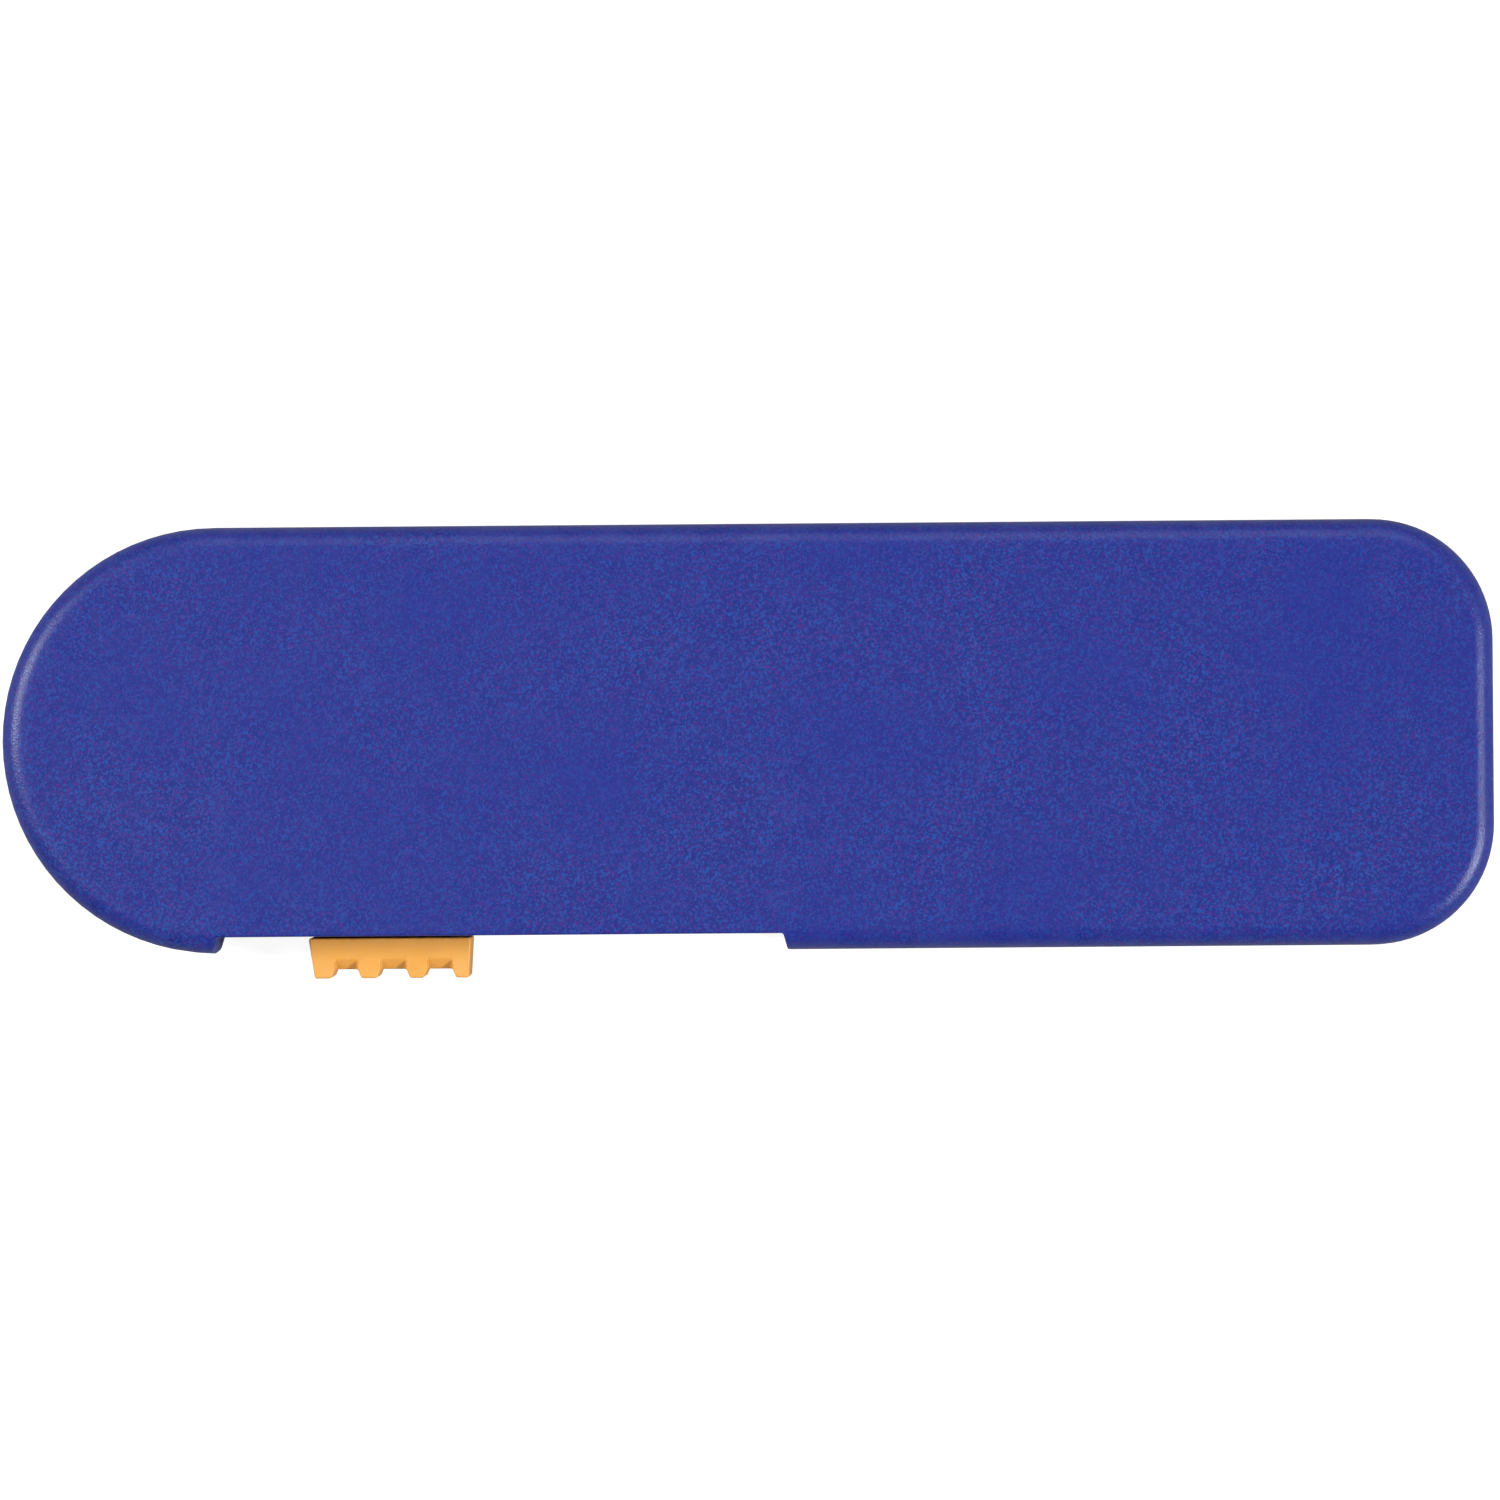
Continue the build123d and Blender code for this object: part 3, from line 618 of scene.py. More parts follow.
def corner_stations():
    """The lower corner at the mouth: lip, no lip, then the mouth, whose cheek is square to Y."""
    mouth_outer = math.degrees(math.asin((MOUTH_HALF_WIDTH - CORNER_Y) / MOUTH_CORNER_R))
    mouth_inner = math.degrees(math.asin((MOUTH_HALF_WIDTH - CORNER_Y) / INNER_CORNER_R))
    spans = [(-90.0, -LIP_END_MOUTH, 1.0, 0.0), (-LIP_END_MOUTH, -mouth_outer, 0.0, 0.0)]
    spans.append((-mouth_outer, 0.0, 0.0, MOUTH_LOW))
    rows = []
    for start, end, lip, low in spans:
        turn = spread(start, end, 4.5)
        inner = np.interp(turn, [-90.0, -mouth_outer, 0.0], [-90.0, -mouth_inner, 0.0])
        rows.append(
            arc((CORNER_X, -CORNER_Y), MOUTH_CORNER_R, INNER_CORNER_R, turn, inner, lip=lip, low=low)
        )
    return rows


def mirrored(rows):
    """The same stations on the other side of the case's axis, in the opposite order."""
    rows = rows[::-1].copy()
    for name in ("y", "in_y", "inner_y"):
        rows[:, COLUMNS.index(name)] *= -1
    return rows


def all_stations():
    """Every station, counter-clockwise from the butt end's tip."""
    butt = dict(centre=(BUTT_X, 0.0), outer_r=HALF_WIDTH, inner_r=HALF_WIDTH - WALL)
    behind = arc(outer_turn=butt_turn(RELIEF_WALL_START), **butt)
    behind[:, COLUMNS.index("inner_x")] = RELIEF_WALL_START
    to_wall = behind.copy()
    to_wall[:, COLUMNS.index("inner_y")] = RELIEF["inner_y"]
    past = spread(LIP_END, CORNER_X, 3.0)
    corner = np.vstack(corner_stations())
    end = spread(-CORNER_Y, CORNER_Y, 2.0)[1:-1]
    low_side = [*relief_stations(), side([RELIEF_WALL_END], -1, inner_y=-RELIEF["inner_y"])]
    low_side += [side([RELIEF_WALL_END, LIP_END], -1), side(past[:-1], -1, lip=1.0)]
    low_side = np.vstack(low_side)
    across = np.unique(low_side[:, 0].round(6))
    at_mouth = dict(middle=CORNER_X, low=MOUTH_LOW)
    return np.vstack(
        [
            arc(outer_turn=spread(180.0, butt_turn(LIP_START), 4.5), lip=1.0, **butt),
            arc(outer_turn=butt_turn(LIP_START), **butt),
            behind,
            to_wall,
            low_side,
            corner,
            stations(x=HALF_LENGTH, y=end, in_x=-1.0, inner_x=HALF_LENGTH - WALL, inner_y=end, **at_mouth),
            mirrored(corner),
            side(across[::-1], 1, lip=1.0),
            arc(outer_turn=spread(90.0, 180.0, 4.5)[:-1], lip=1.0, **butt),
        ]
    )


STATIONS = dict(zip(COLUMNS, all_stations().T[:, None, :]))
print("stations round the case:", STATIONS["x"].size)

# %% [markdown]
# The rings come next. On the face a ring is a share of the way from the rounded edge to the case's
# axis; on the rounded edge it is an angle; on the walls it is a height above the seam. The front
# shell's seam carries the lip and the back shell's the rebate that the lip nests in. A moulded
# face is never quite flat: it sinks a few hundredths over its middle, and a faint line shows where
# a rail stands behind it.

# %% Rings of a shell
FILLET_INSET = (HALF_DEPTH - FACE_EDGE_R) * DRAFT + FACE_EDGE_R
FACE_SHARES = np.array([1.0, 0.82, 0.62, 0.44, 0.32, 0.25, 0.215, 0.19, 0.169, 0.148, 0.12, 0.085, 0.045])
AT_RELIEF = math.degrees(math.acos((FILLET_INSET - RELIEF["depth"]) / FACE_EDGE_R))
FILLET_TURNS = np.array([90.0, 82.0, AT_RELIEF, 60.0, 48.0, 36.0, 24.0, 12.0, 0.0])
WALL_HEIGHTS = np.array([MOUTH_LOW, SLOT_LOW, SEAM_CHAMFER, 0.0])
LIP_STEPS = np.array([(0.483, 0.0), (0.483, -1.0), (0.966, -1.0), (0.966, 0.0), (1.0, 0.0)])
REBATE_STEPS = np.array([(0.448, 0.0), (0.448, 1.1), (1.0, 1.1), (1.0, 1.1), (1.0, 1.1)])
INNER_FACE = HALF_DEPTH - WALL
INNER_SHARES = np.array([0.35, 0.7, 1.0])
RAIL_SHARE = 0.169  # where the rail stands behind the face


def outer_plan(inset):
    """Plan of a ring at an inset, one row per ring; the relief's floor and leaning ends hold it back."""
    at = np.maximum(inset, STATIONS["depth"])
    shift = STATIONS["lean"] * (RELIEF["depth"] - np.minimum(inset, RELIEF["depth"])) * RELIEF["lean"]
    return STATIONS["x"] + at * STATIONS["in_x"] + shift, STATIONS["y"] + at * STATIONS["in_y"]


def shell_grid(steps):
    """Rings by stations of (x, y, height above the seam), and how exposed each point is."""
    across = np.ones_like(STATIONS["x"])
    low = STATIONS["low"]
    # Face: from the axis, share 1, to the rounded edge, share 0, with its sink and the rail's line.
    share = FACE_SHARES[:, None]
    edge_x, edge_y = outer_plan(np.full((1, 1), FILLET_INSET))
    face_x, face_y = (1 - share) * edge_x + share * STATIONS["middle"], (1 - share) * edge_y
    over_rail = np.clip(STATIONS["y"] / HALF_WIDTH, 0.0, 1.0) ** 0.5 * (STATIONS["x"] < CORNER_X + 4)
    face_h = HALF_DEPTH - 0.04 * (1 - (1 - share) ** 2) - 0.018 * over_rail * np.exp(
        -(((share - RAIL_SHARE) / 0.022) ** 2)
    )
    # Rounded edge: a quarter circle, then the drafted wall down to the seam's chamfer.
    turn = np.radians(FILLET_TURNS)[:, None]
    fillet_x, fillet_y = outer_plan(FILLET_INSET - FACE_EDGE_R * np.cos(turn))
    fillet_h = HALF_DEPTH - FACE_EDGE_R + FACE_EDGE_R * np.sin(turn)
    wall_h = np.maximum(WALL_HEIGHTS[:, None], low)
    at_seam = (WALL_HEIGHTS[:, None] == 0.0) & (low == 0.0)
    wall_x, wall_y = outer_plan(wall_h * DRAFT + SEAM_CHAMFER * at_seam)
    # Seam: from the wall's foot to the inner wall, stepped where there is a lip or a rebate.
    part, rise = steps[:, :1], steps[:, 1:]
    seam_x = wall_x[-1:] + part * (STATIONS["inner_x"] - wall_x[-1:])
    seam_y = wall_y[-1:] + part * (STATIONS["inner_y"] - wall_y[-1:])
    seam_h = low + rise * STATIONS["lip"]
    # Inside: up the inner wall and over the inner face to the axis.
    inner_h = np.maximum(np.array([SLOT_LOW, MOUTH_LOW, INNER_FACE])[:, None], low)
    back = INNER_SHARES[:, None]
    roof_x = STATIONS["inner_x"] + back * (STATIONS["middle"] - STATIONS["inner_x"])
    roof_y = STATIONS["inner_y"] * (1 - back)
    three = np.ones((3, 1))
    roof_h = INNER_FACE * across * three
    columns = [
        [face_x, fillet_x, wall_x, seam_x, STATIONS["inner_x"] * three, roof_x],
        [face_y, fillet_y, wall_y, seam_y, STATIONS["inner_y"] * three, roof_y],
        [face_h * across, fillet_h * across, wall_h, seam_h, inner_h, roof_h],
    ]
    grid = np.stack([np.vstack(rows) for rows in columns], axis=-1)
    exposed = np.zeros(grid.shape[:2])
    first, last = len(FACE_SHARES), len(FACE_SHARES) + len(FILLET_TURNS)
    exposed[first:last] = np.sin(2 * turn).clip(0.15, 1.0)
    exposed[: last + 4] = np.maximum(exposed[: last + 4], 0.8 * (STATIONS["lean"] != 0))
    return grid, exposed


def shell_skin(name, steps, side_up):
    """A shell's skin; side_up is 1 above the seam and -1 below it, which turns the faces over."""
    grid, exposed = shell_grid(steps)
    grid[..., 2] = SEAM_Z + side_up * grid[..., 2]
    return make_mesh(name, grid, ring_faces(*grid.shape[:2]), exposed)


front_skin = shell_skin("front_skin", LIP_STEPS, 1)
back_skin = shell_skin("back_skin", REBATE_STEPS, -1)


def open_edges(piece):
    """How many edges don't have two faces, which is 0 on a closed surface."""
    work = bmesh.new()
    work.from_mesh(piece.data)
    count = sum(len(edge.link_faces) != 2 for edge in work.edges)
    volume = work.calc_volume(signed=True) / MM**3
    work.free()
    return count, round(volume)


print("front skin open edges, mm3:", open_edges(front_skin), "back skin:", open_edges(back_skin))

# %% [markdown]
# ## Rails, bosses and hooks inside the shells
# These stand on the inside of each shell as part of the same moulding. On the real part they are
# pockets milled into the mould's core, so all of them are prisms or turned posts. They reach a
# little way into the shell's wall, where nobody can see them end.

# %% Ribs inside both shells
BURIED = 0.8
ABOVE_SLOT = 0.12  # a guide rib starts this far past the slot's cheek
ABOVE_LIP = 1.15  # the back shell's gussets stay clear of the lip
RAIL_Y, RAIL_THICK, CLICK_RAIL_THICK = 10.2, 1.0, 1.5
RAIL_GAP = 0.05
RAIL_TOP = INNER_FACE + BURIED
GRIP_X = (GRIP_LOW[0] + GRIP_HIGH[0]) / 2
CLICK_PITCH = 5.1
CLICK_X = GRIP_X + CLICK_PITCH * (np.arange(6) - 1)
CLICK_HALF, CLICK_DEPTH, CLICK_HEIGHT = 1.4, 0.65, 2.4
GUIDE_X = (RELIEF["start"] + RELIEF["end"]) / 2 + 6.2 * (np.arange(7) - 3)
BOSS_AT = 8.7  # from the middle of the round end
BOSS_TURN = np.radians([180 - 38, 180 + 38])
BOSS_CENTRES = np.column_stack([BUTT_X + BOSS_AT * np.cos(BOSS_TURN), BOSS_AT * np.sin(BOSS_TURN)])
BOSS_R = 2.3


def rail_end(y):
    """Where a rail runs into the mouth corner's wall, by the circle of the buried outline."""
    return CORNER_X + math.sqrt((MOUTH_CORNER_R - BURIED) ** 2 - (y - CORNER_Y) ** 2)


def notched_rail():
    """Plan of the rail beside the click spring: straight behind, with a V notch at each stop."""
    notch = np.array([(-CLICK_HALF, 0.0), (0.0, CLICK_DEPTH), (CLICK_HALF, 0.0)])
    inner = (np.column_stack([CLICK_X, np.full(len(CLICK_X), RAIL_Y)])[:, None] + notch).reshape(-1, 2)
    return [(BUTT_X, RAIL_Y), *inner, (RELIEF["end"], RAIL_Y), *rail_back()]


def rail_back():
    """The outer line of the click rail."""
    return [(RELIEF["end"], RAIL_Y + CLICK_RAIL_THICK), (BUTT_X, RAIL_Y + CLICK_RAIL_THICK)]


def long_rail(start, sign):
    """Plan of a plain rail on one side, cut off where it meets the corner."""
    outer = RAIL_Y + RAIL_THICK
    line = [(start, RAIL_Y), (rail_end(RAIL_Y), RAIL_Y), (rail_end(outer), outer), (start, outer)]
    return [(x, sign * y) for x, y in line]


def gusset(turn, start, end):
    """Plan of the rib that ties a boss to the wall of the round end."""
    along = np.array([math.cos(turn), math.sin(turn)])
    aside = np.array([-along[1], along[0]]) * RAIL_THICK / 2
    centre = np.array([BUTT_X, 0.0])
    near, far = centre + start * along, centre + end * along
    return [near + aside, far + aside, far - aside, near - aside]


def shell_ribs(side_up):
    """Rails and guide ribs of one shell: plan outlines with their heights above the seam."""
    plain = [(BUTT_X, RAIL_Y), (RELIEF["end"], RAIL_Y), *rail_back()]
    parts = [
        (notched_rail(), RAIL_GAP, CLICK_HEIGHT),
        (plain, CLICK_HEIGHT, RAIL_TOP),
        (long_rail(RELIEF["end"], 1), RAIL_GAP, RAIL_TOP),
        (long_rail(RELIEF_WALL_END, -1), RAIL_GAP, RAIL_TOP),
    ]
    for x in GUIDE_X:
        by_slot = SLOT["start"] < x < SLOT["end"]
        outline = block(x - RAIL_THICK / 2, x + RAIL_THICK / 2, RELIEF["inner_y"] - BURIED, -RAIL_Y)
        parts.append((outline, SLOT["half"] + ABOVE_SLOT if by_slot else RAIL_GAP, RAIL_TOP))
    foot = 0.0 if side_up > 0 else ABOVE_LIP
    for turn in BOSS_TURN:
        parts.append((gusset(turn, BOSS_AT + 1.6, HALF_WIDTH - BURIED), foot, RAIL_TOP))
    return [
        prism("rib", outline, *sorted(SEAM_Z + side_up * height for height in (low, high)))
        for outline, low, high in parts
    ]


# %% [markdown]
# The front shell's bosses are blind, and the screws bite into them. The back shell's bosses carry
# the screw heads in sunk seats. The front shell also has four springy hooks near the mouth.

# %% Bosses, hooks and the openings for them
BITE_R, BITE_DEPTH = 1.0, 3.8
CLEAR_R = 1.15
SEAT_R, SEAT_DEPTH = 2.1, 1.5
HOOK_XS = (20.0, 38.0)
HOOK_HALF = 2.0
HOOK_OUT = HALF_WIDTH - WALL - 0.2
HOOK_IN, BARB_OUT = HOOK_OUT - 0.8, HOOK_OUT + 0.55
HOOK_TIP, BARB_TOP = 4.0, 4.85

blind_boss = [(0, RAIL_TOP), (BOSS_R, RAIL_TOP), (BOSS_R, 0), (BITE_R + 0.2, 0), (BITE_R, 0.2)]
blind_boss += [(BITE_R, BITE_DEPTH), (0, BITE_DEPTH + 0.4)]
blind_boss = [(radius, SEAM_Z + height) for radius, height in blind_boss]
through_boss = [(CLEAR_R, SEAT_DEPTH), (BOSS_R, SEAT_DEPTH), (BOSS_R, SEAM_Z), (CLEAR_R, SEAM_Z)]
through_boss.append(through_boss[0])
hook_side = [(HOOK_IN, HOOK_TIP), (HOOK_OUT, HOOK_TIP), (BARB_OUT, BARB_TOP), (HOOK_OUT, BARB_TOP)]
hook_side += [(HOOK_OUT, 2 * SEAM_Z - BURIED), (HOOK_IN, 2 * SEAM_Z - BURIED)]

front_parts = shell_ribs(1) + [turned("boss", blind_boss, centre) for centre in BOSS_CENTRES]
back_parts = shell_ribs(-1) + [turned("boss", through_boss, centre) for centre in BOSS_CENTRES]
for x in HOOK_XS:
    for sign in (-1, 1):
        line = [(sign * y, z) for y, z in hook_side]
        front_parts.append(prism("hook", line, x - HOOK_HALF, x + HOOK_HALF, order=(2, 0, 1)))

seat_cutter = [(0, -1), (SEAT_R + 1.1, -1), (SEAT_R, 0.12), (SEAT_R, 3), (0, 3)]
cutters = [turned("seat", seat_cutter, centre) for centre in BOSS_CENTRES]
POCKET_GAP = 0.2
for x in HOOK_XS:
    for sign in (-1, 1):
        reach = sorted((sign * HOOK_IN, sign * (BARB_OUT + POCKET_GAP)))
        pocket = block(x - HOOK_HALF - POCKET_GAP, x + HOOK_HALF + POCKET_GAP, *reach)
        cutters.append(prism("pocket", pocket, HOOK_TIP - POCKET_GAP, BARB_TOP + POCKET_GAP))
back_skin = cut(back_skin, join("cutters", cutters))
front_skin = settle(soften(front_skin, 0.12))
back_skin = settle(soften(back_skin, 0.12))
print("back skin open edges after cutting:", open_edges(back_skin))
for skin, node in ((front_skin, "front_shell"), (back_skin, "back_shell")):
    place(skin, "case", "case_plastic", CASE_BLUE, node)
for side_name, parts in (("front", front_parts), ("back", back_parts)):
    ribs = settle(soften(join(side_name + "_ribs", parts), 0.08))
    place(ribs, "case", "case_plastic", CASE_BLUE, side_name + "_shell")

# %% [markdown]
# ## Thumb grip
# The grip is one moulding with four ribs across it. Its side view, the one that the front shows,
# is a profile; the ribs are square right to both faces, while the valleys between them end in a
# bevel. So the mesh is that profile repeated at a few heights, and only the valley points move
# from height to height. A hollow at the back takes the stem of the carriage.

# %% Thumb grip
GRIP_ROOT_Y, GRIP_TIP_Y = GRIP_HIGH[1], GRIP_LOW[1]
GRIP_HALF = (GRIP_HIGH[0] - GRIP_LOW[0]) / 2
RIB_HEIGHT, RIB_FLARE, GRIP_BEVEL = 0.6, 0.5, 0.7
RIB_CENTRES = (-4.50, -1.40, 1.80, 4.86)  # the mould's ribs are not quite even
RIB_TIPS = (1.10, 1.04, 0.92, 0.86)
VALLEY_Y = GRIP_TIP_Y + RIB_HEIGHT
STEM_HALF_LENGTH, STEM_HALF_HEIGHT, STEM_DEPTH = 3.25, 1.35, 1.3


def grip_profile(bevel):
    """Side view of the grip, counter-clockwise; bevel is how far the valleys are set back."""
    line = [(-GRIP_HALF, GRIP_ROOT_Y)]
    for number, (centre, tip) in enumerate(zip(RIB_CENTRES, RIB_TIPS)):
        root = tip + RIB_FLARE
        left = [(-root / 2, VALLEY_Y + bevel), (-root / 2, VALLEY_Y), (-tip / 2, GRIP_TIP_Y)]
        right = [(-x, y) for x, y in left[::-1]]
        rib = (left if number > 0 else left[2:]) + (right if number < 3 else right[:1])
        line += [(centre + x, y) for x, y in rib]
    line.append((GRIP_HALF, GRIP_ROOT_Y))
    return np.array(line) + (GRIP_X, 0.0)


def make_grip():
    """Profiles stacked along Z: bevelled valleys at both faces, full depth between them."""
    low, high = GRIP_LOW[2], GRIP_HIGH[2]
    levels = [(low, GRIP_BEVEL), (low + GRIP_BEVEL, 0.0), (high - GRIP_BEVEL, 0.0), (high, GRIP_BEVEL)]
    count = len(grip_profile(0))
    grid = np.stack([np.column_stack([grip_profile(bevel), np.full(count, z)]) for z, bevel in levels])
    ends = [np.arange(count), np.arange(count) + count * (len(levels) - 1)]
    faces = [*ring_faces(len(levels), count), *ends]
    # Lighter towards the rib tips: rubbed wear, and painted light for the shade that falls on the root beside
    # the case.
    worn_and_lit = np.clip((VALLEY_Y - grid[..., 1]) / RIB_HEIGHT, 0, 1)
    grip = make_mesh("thumb_grip_moulding", grid, faces, worn_and_lit)
    stem_ends = (GRIP_X - STEM_HALF_LENGTH, GRIP_X + STEM_HALF_LENGTH)
    hollow = block(*stem_ends, GRIP_ROOT_Y - STEM_DEPTH, GRIP_ROOT_Y + 1)
    stem = prism("stem", hollow, SEAM_Z - STEM_HALF_HEIGHT, SEAM_Z + STEM_HALF_HEIGHT)
    return settle(soften(cut(grip, stem), 0.14, limit=25, segments=3))


thumb_grip = place(make_grip(), "slide", "grip_plastic", GRIP_ORANGE, "thumb_grip")
print("grip open edges:", open_edges(thumb_grip))

# %% [markdown]
# ## Felt
# The pad is four layers of pressed wool felt, die-cut to one outline and riveted together. A die
# leaves a firm but slightly fuzzy edge, and no two layers end at quite the same place. Each layer
# is a closed slab, worked out as rings over its face, round its edge and under it, with gentle
# random waves. Loose fibres stand out from the edge and from the broad faces that leave the case.
# Particle hair would look the same and isn't a mesh, so each fibre is a thin three-sided hair.

# %% Felt layers
RANDOM = np.random.default_rng(7)
FELT_BACK_R, FELT_FRONT_R = 0.4, 6.5
FELT_ROUND = 0.35
RIVETS = [(-11.75, sign * 5.6) for sign in (-1, 1)]
RIVET_HOLE_R = 0.85
CHALKED = 9.0  # mm of the pad's front that takes chalk


def rounded_outline(low, high, step):
    """Points and outward directions round a rectangle: small corners behind, large ones in front."""
    corners = [(low[0], low[1], FELT_BACK_R, 180), (high[0], low[1], FELT_FRONT_R, 270)]
    corners += [(high[0], high[1], FELT_FRONT_R, 0), (low[0], high[1], FELT_BACK_R, 90)]
    points, outward = [], []
    for x, y, radius, start in corners:
        turn = np.radians(np.linspace(start, start + 90, max(4, int(radius * math.pi / 2 / step) + 1)))
        way = np.column_stack([np.cos(turn), np.sin(turn)])
        towards = x - np.mean([low[0], high[0]])
        centre = np.array([x - math.copysign(radius, towards), y - math.copysign(radius, y)])
        points.append(centre + radius * way)
        outward.append(way)
    for number in range(4):
        start, end = points[2 * number][-1], points[(2 * number + 1) % len(points)][0]
        share = np.linspace(0, 1, int(np.linalg.norm(end - start) / step) + 1)[1:-1, None]
        points.insert(2 * number + 1, start + share * (end - start))
        outward.insert(2 * number + 1, np.repeat(outward[2 * number][-1:], len(share), axis=0))
    return np.vstack(points), np.vstack(outward)


def waves(points, lengths, seed_rows):
    """Smooth random waves in space: a sum of sines, each with its own direction and phase."""
    total = np.zeros(points.shape[:-1])
    for length, rows in zip(lengths, seed_rows):
        for *way, phase in rows:
            total += np.sin((points @ np.array(way)) * 2 * np.pi / length + 2 * np.pi * phase)
    return total / sum(len(rows) for rows in seed_rows)


def chalkiness(x, front):
    """How chalky each place is: the square of its share of the way into the chalked front."""
    return np.clip((x - front + CHALKED) / CHALKED, 0.0, 1.0) ** 2


def felt_slab(name, low, high, trim):
    """A felt layer between two corners; trim is how far its front edge falls short."""
    points, outward = rounded_outline((low[0], low[1]), (high[0] - trim, high[1]), 0.45)
    middle_x = np.clip(points[:, 0], low[0] + high[1], high[0] - high[1])
    thick = high[2] - low[2]
    shares = np.linspace(1.0, 0.0, 14) ** 1.3
    turn = np.radians([65, 40, 15])
    profile = [(share, FELT_ROUND, thick) for share in shares]
    profile += [(0.0, FELT_ROUND * (1 - math.cos(t)), thick - FELT_ROUND * (1 - math.sin(t))) for t in turn]
    profile += [(0.0, 0.0, thick * height) for height in (0.66, 0.5, 0.34)]
    profile += [(share, inset, thick - height) for share, inset, height in profile[:-3][::-1]]
    share, inset, height = (np.array(column)[:, None] for column in zip(*profile))
    edge = points[None] - inset[..., None] * outward[None]
    x = (1 - share) * edge[..., 0] + share * middle_x
    y = (1 - share) * edge[..., 1]
    grid = np.stack([x, y, low[2] + height * np.ones_like(x)], axis=-1)
    rows = [RANDOM.normal(size=(7, 4)) for _ in range(3)]
    wave = waves(grid, (9.0, 3.0, 1.1), rows)
    at_edge = (share == 0.0) * np.ones_like(x)
    push = -0.10 * at_edge * (0.7 + wave)
    grid[..., :2] += push[..., None] * outward[None]
    grid[..., 2] -= np.sign(height - thick / 2) * (0.02 + 0.02 * wave)
    return make_mesh(name, grid, ring_faces(*grid.shape[:2]), chalkiness(grid[..., 0], high[0]))


# %% Loose fibres
FUZZ_ROOM = np.array([0.9, 0.16, 0.30])  # mm past the pad: in front, at the sides, above and below
FUZZ_COUNT = 5200  # on the edge, and as many on the faces
HAIR_R = 0.020
HAIR_FACES = [(0, 1, 4), (0, 4, 3), (1, 2, 5), (1, 5, 4), (2, 0, 3), (2, 3, 5)]
HAIR_FACES += [(3, 4, 6), (4, 5, 6), (5, 3, 6), (2, 1, 0)]
HAIR_POINTS = 7


def edge_roots(low, high, count):
    """Random places on the pad's edge, each with its direction outwards and a hair length."""
    points, outward = rounded_outline((low[0], low[1]), (high[0], high[1]), 0.2)
    keep = points[:, 0] > low[0] + 12.0
    points, outward = points[keep], outward[keep]
    pick = RANDOM.integers(len(points), size=count)
    height = RANDOM.uniform(low[2] + 0.1, high[2] - 0.1, count)
    root = np.column_stack([points[pick] - 0.15 * outward[pick], height])
    facing = np.clip(outward[pick, 0], 0.0, 1.0)  # 1 on the front, where hairs have room to be longer
    length = 0.2 + RANDOM.uniform(0.0, 0.1, count) + 0.3 * facing
    return root, np.column_stack([outward[pick], np.zeros(count)]), length


def face_roots(low, high, count):
    """Random places on the pad's two broad faces, in the part that the mouth lets out."""
    side_up = RANDOM.choice([-1.0, 1.0], count)
    x = RANDOM.uniform(high[0] - 26.0, high[0] - 0.4, count)
    past = np.clip(x - (high[0] - FELT_FRONT_R), 0.0, FELT_FRONT_R)
    half = high[1] - FELT_FRONT_R + np.sqrt(FELT_FRONT_R**2 - past**2) - 0.3
    y = RANDOM.uniform(-1.0, 1.0, count) * half
    z = np.where(side_up > 0, high[2] - 0.03, low[2] + 0.03)
    way = np.column_stack([RANDOM.normal(scale=2.5, size=(count, 2)), side_up])
    way /= np.linalg.norm(way, axis=1, keepdims=True)
    return np.column_stack([x, y, z]), way, RANDOM.uniform(0.3, 0.6, count)


def fibres(name, low, high):
    """Loose fibres: three-sided hairs that bend once and end in a point."""
    groups = [edge_roots(low, high, FUZZ_COUNT), face_roots(low, high, FUZZ_COUNT)]
    root, way, length = (np.concatenate(columns) for columns in zip(*groups))
    count = len(root)
    way = way + RANDOM.normal(scale=(0.45, 0.45, 0.2), size=(count, 3))
    way /= np.linalg.norm(way, axis=1, keepdims=True)
    way[:, 2] = np.clip(way[:, 2], -0.35, 0.35)
    length = length[:, None]
    bend = root + way * length + RANDOM.normal(scale=(0.06, 0.06, 0.02), size=(count, 3))
    tip = bend + (way + RANDOM.normal(scale=(0.6, 0.6, 0.2), size=(count, 3))) * length * 0.5
    # Held inside the room that the rails and the mouth leave, so no hair passes into them.
    held_low, held_high = low - FUZZ_ROOM, high + FUZZ_ROOM
    bend, tip = np.clip(bend, held_low, held_high), np.clip(tip, held_low, held_high)
    aside = np.cross(way, RANDOM.normal(size=(count, 3)))
    aside *= HAIR_R / np.linalg.norm(aside, axis=1, keepdims=True)
    third = np.cross(way, aside)
    ring = np.stack([aside, -0.5 * aside + 0.87 * third, -0.5 * aside - 0.87 * third], axis=1)
    hairs = np.concatenate([root[:, None] + ring, bend[:, None] + 0.7 * ring, tip[:, None]], axis=1)
    faces = (HAIR_POINTS * np.arange(count)[:, None, None] + np.array(HAIR_FACES)).reshape(-1, 3)
    return make_mesh(name, hairs, faces, np.repeat(chalkiness(root[:, 0], high[0]), HAIR_POINTS))


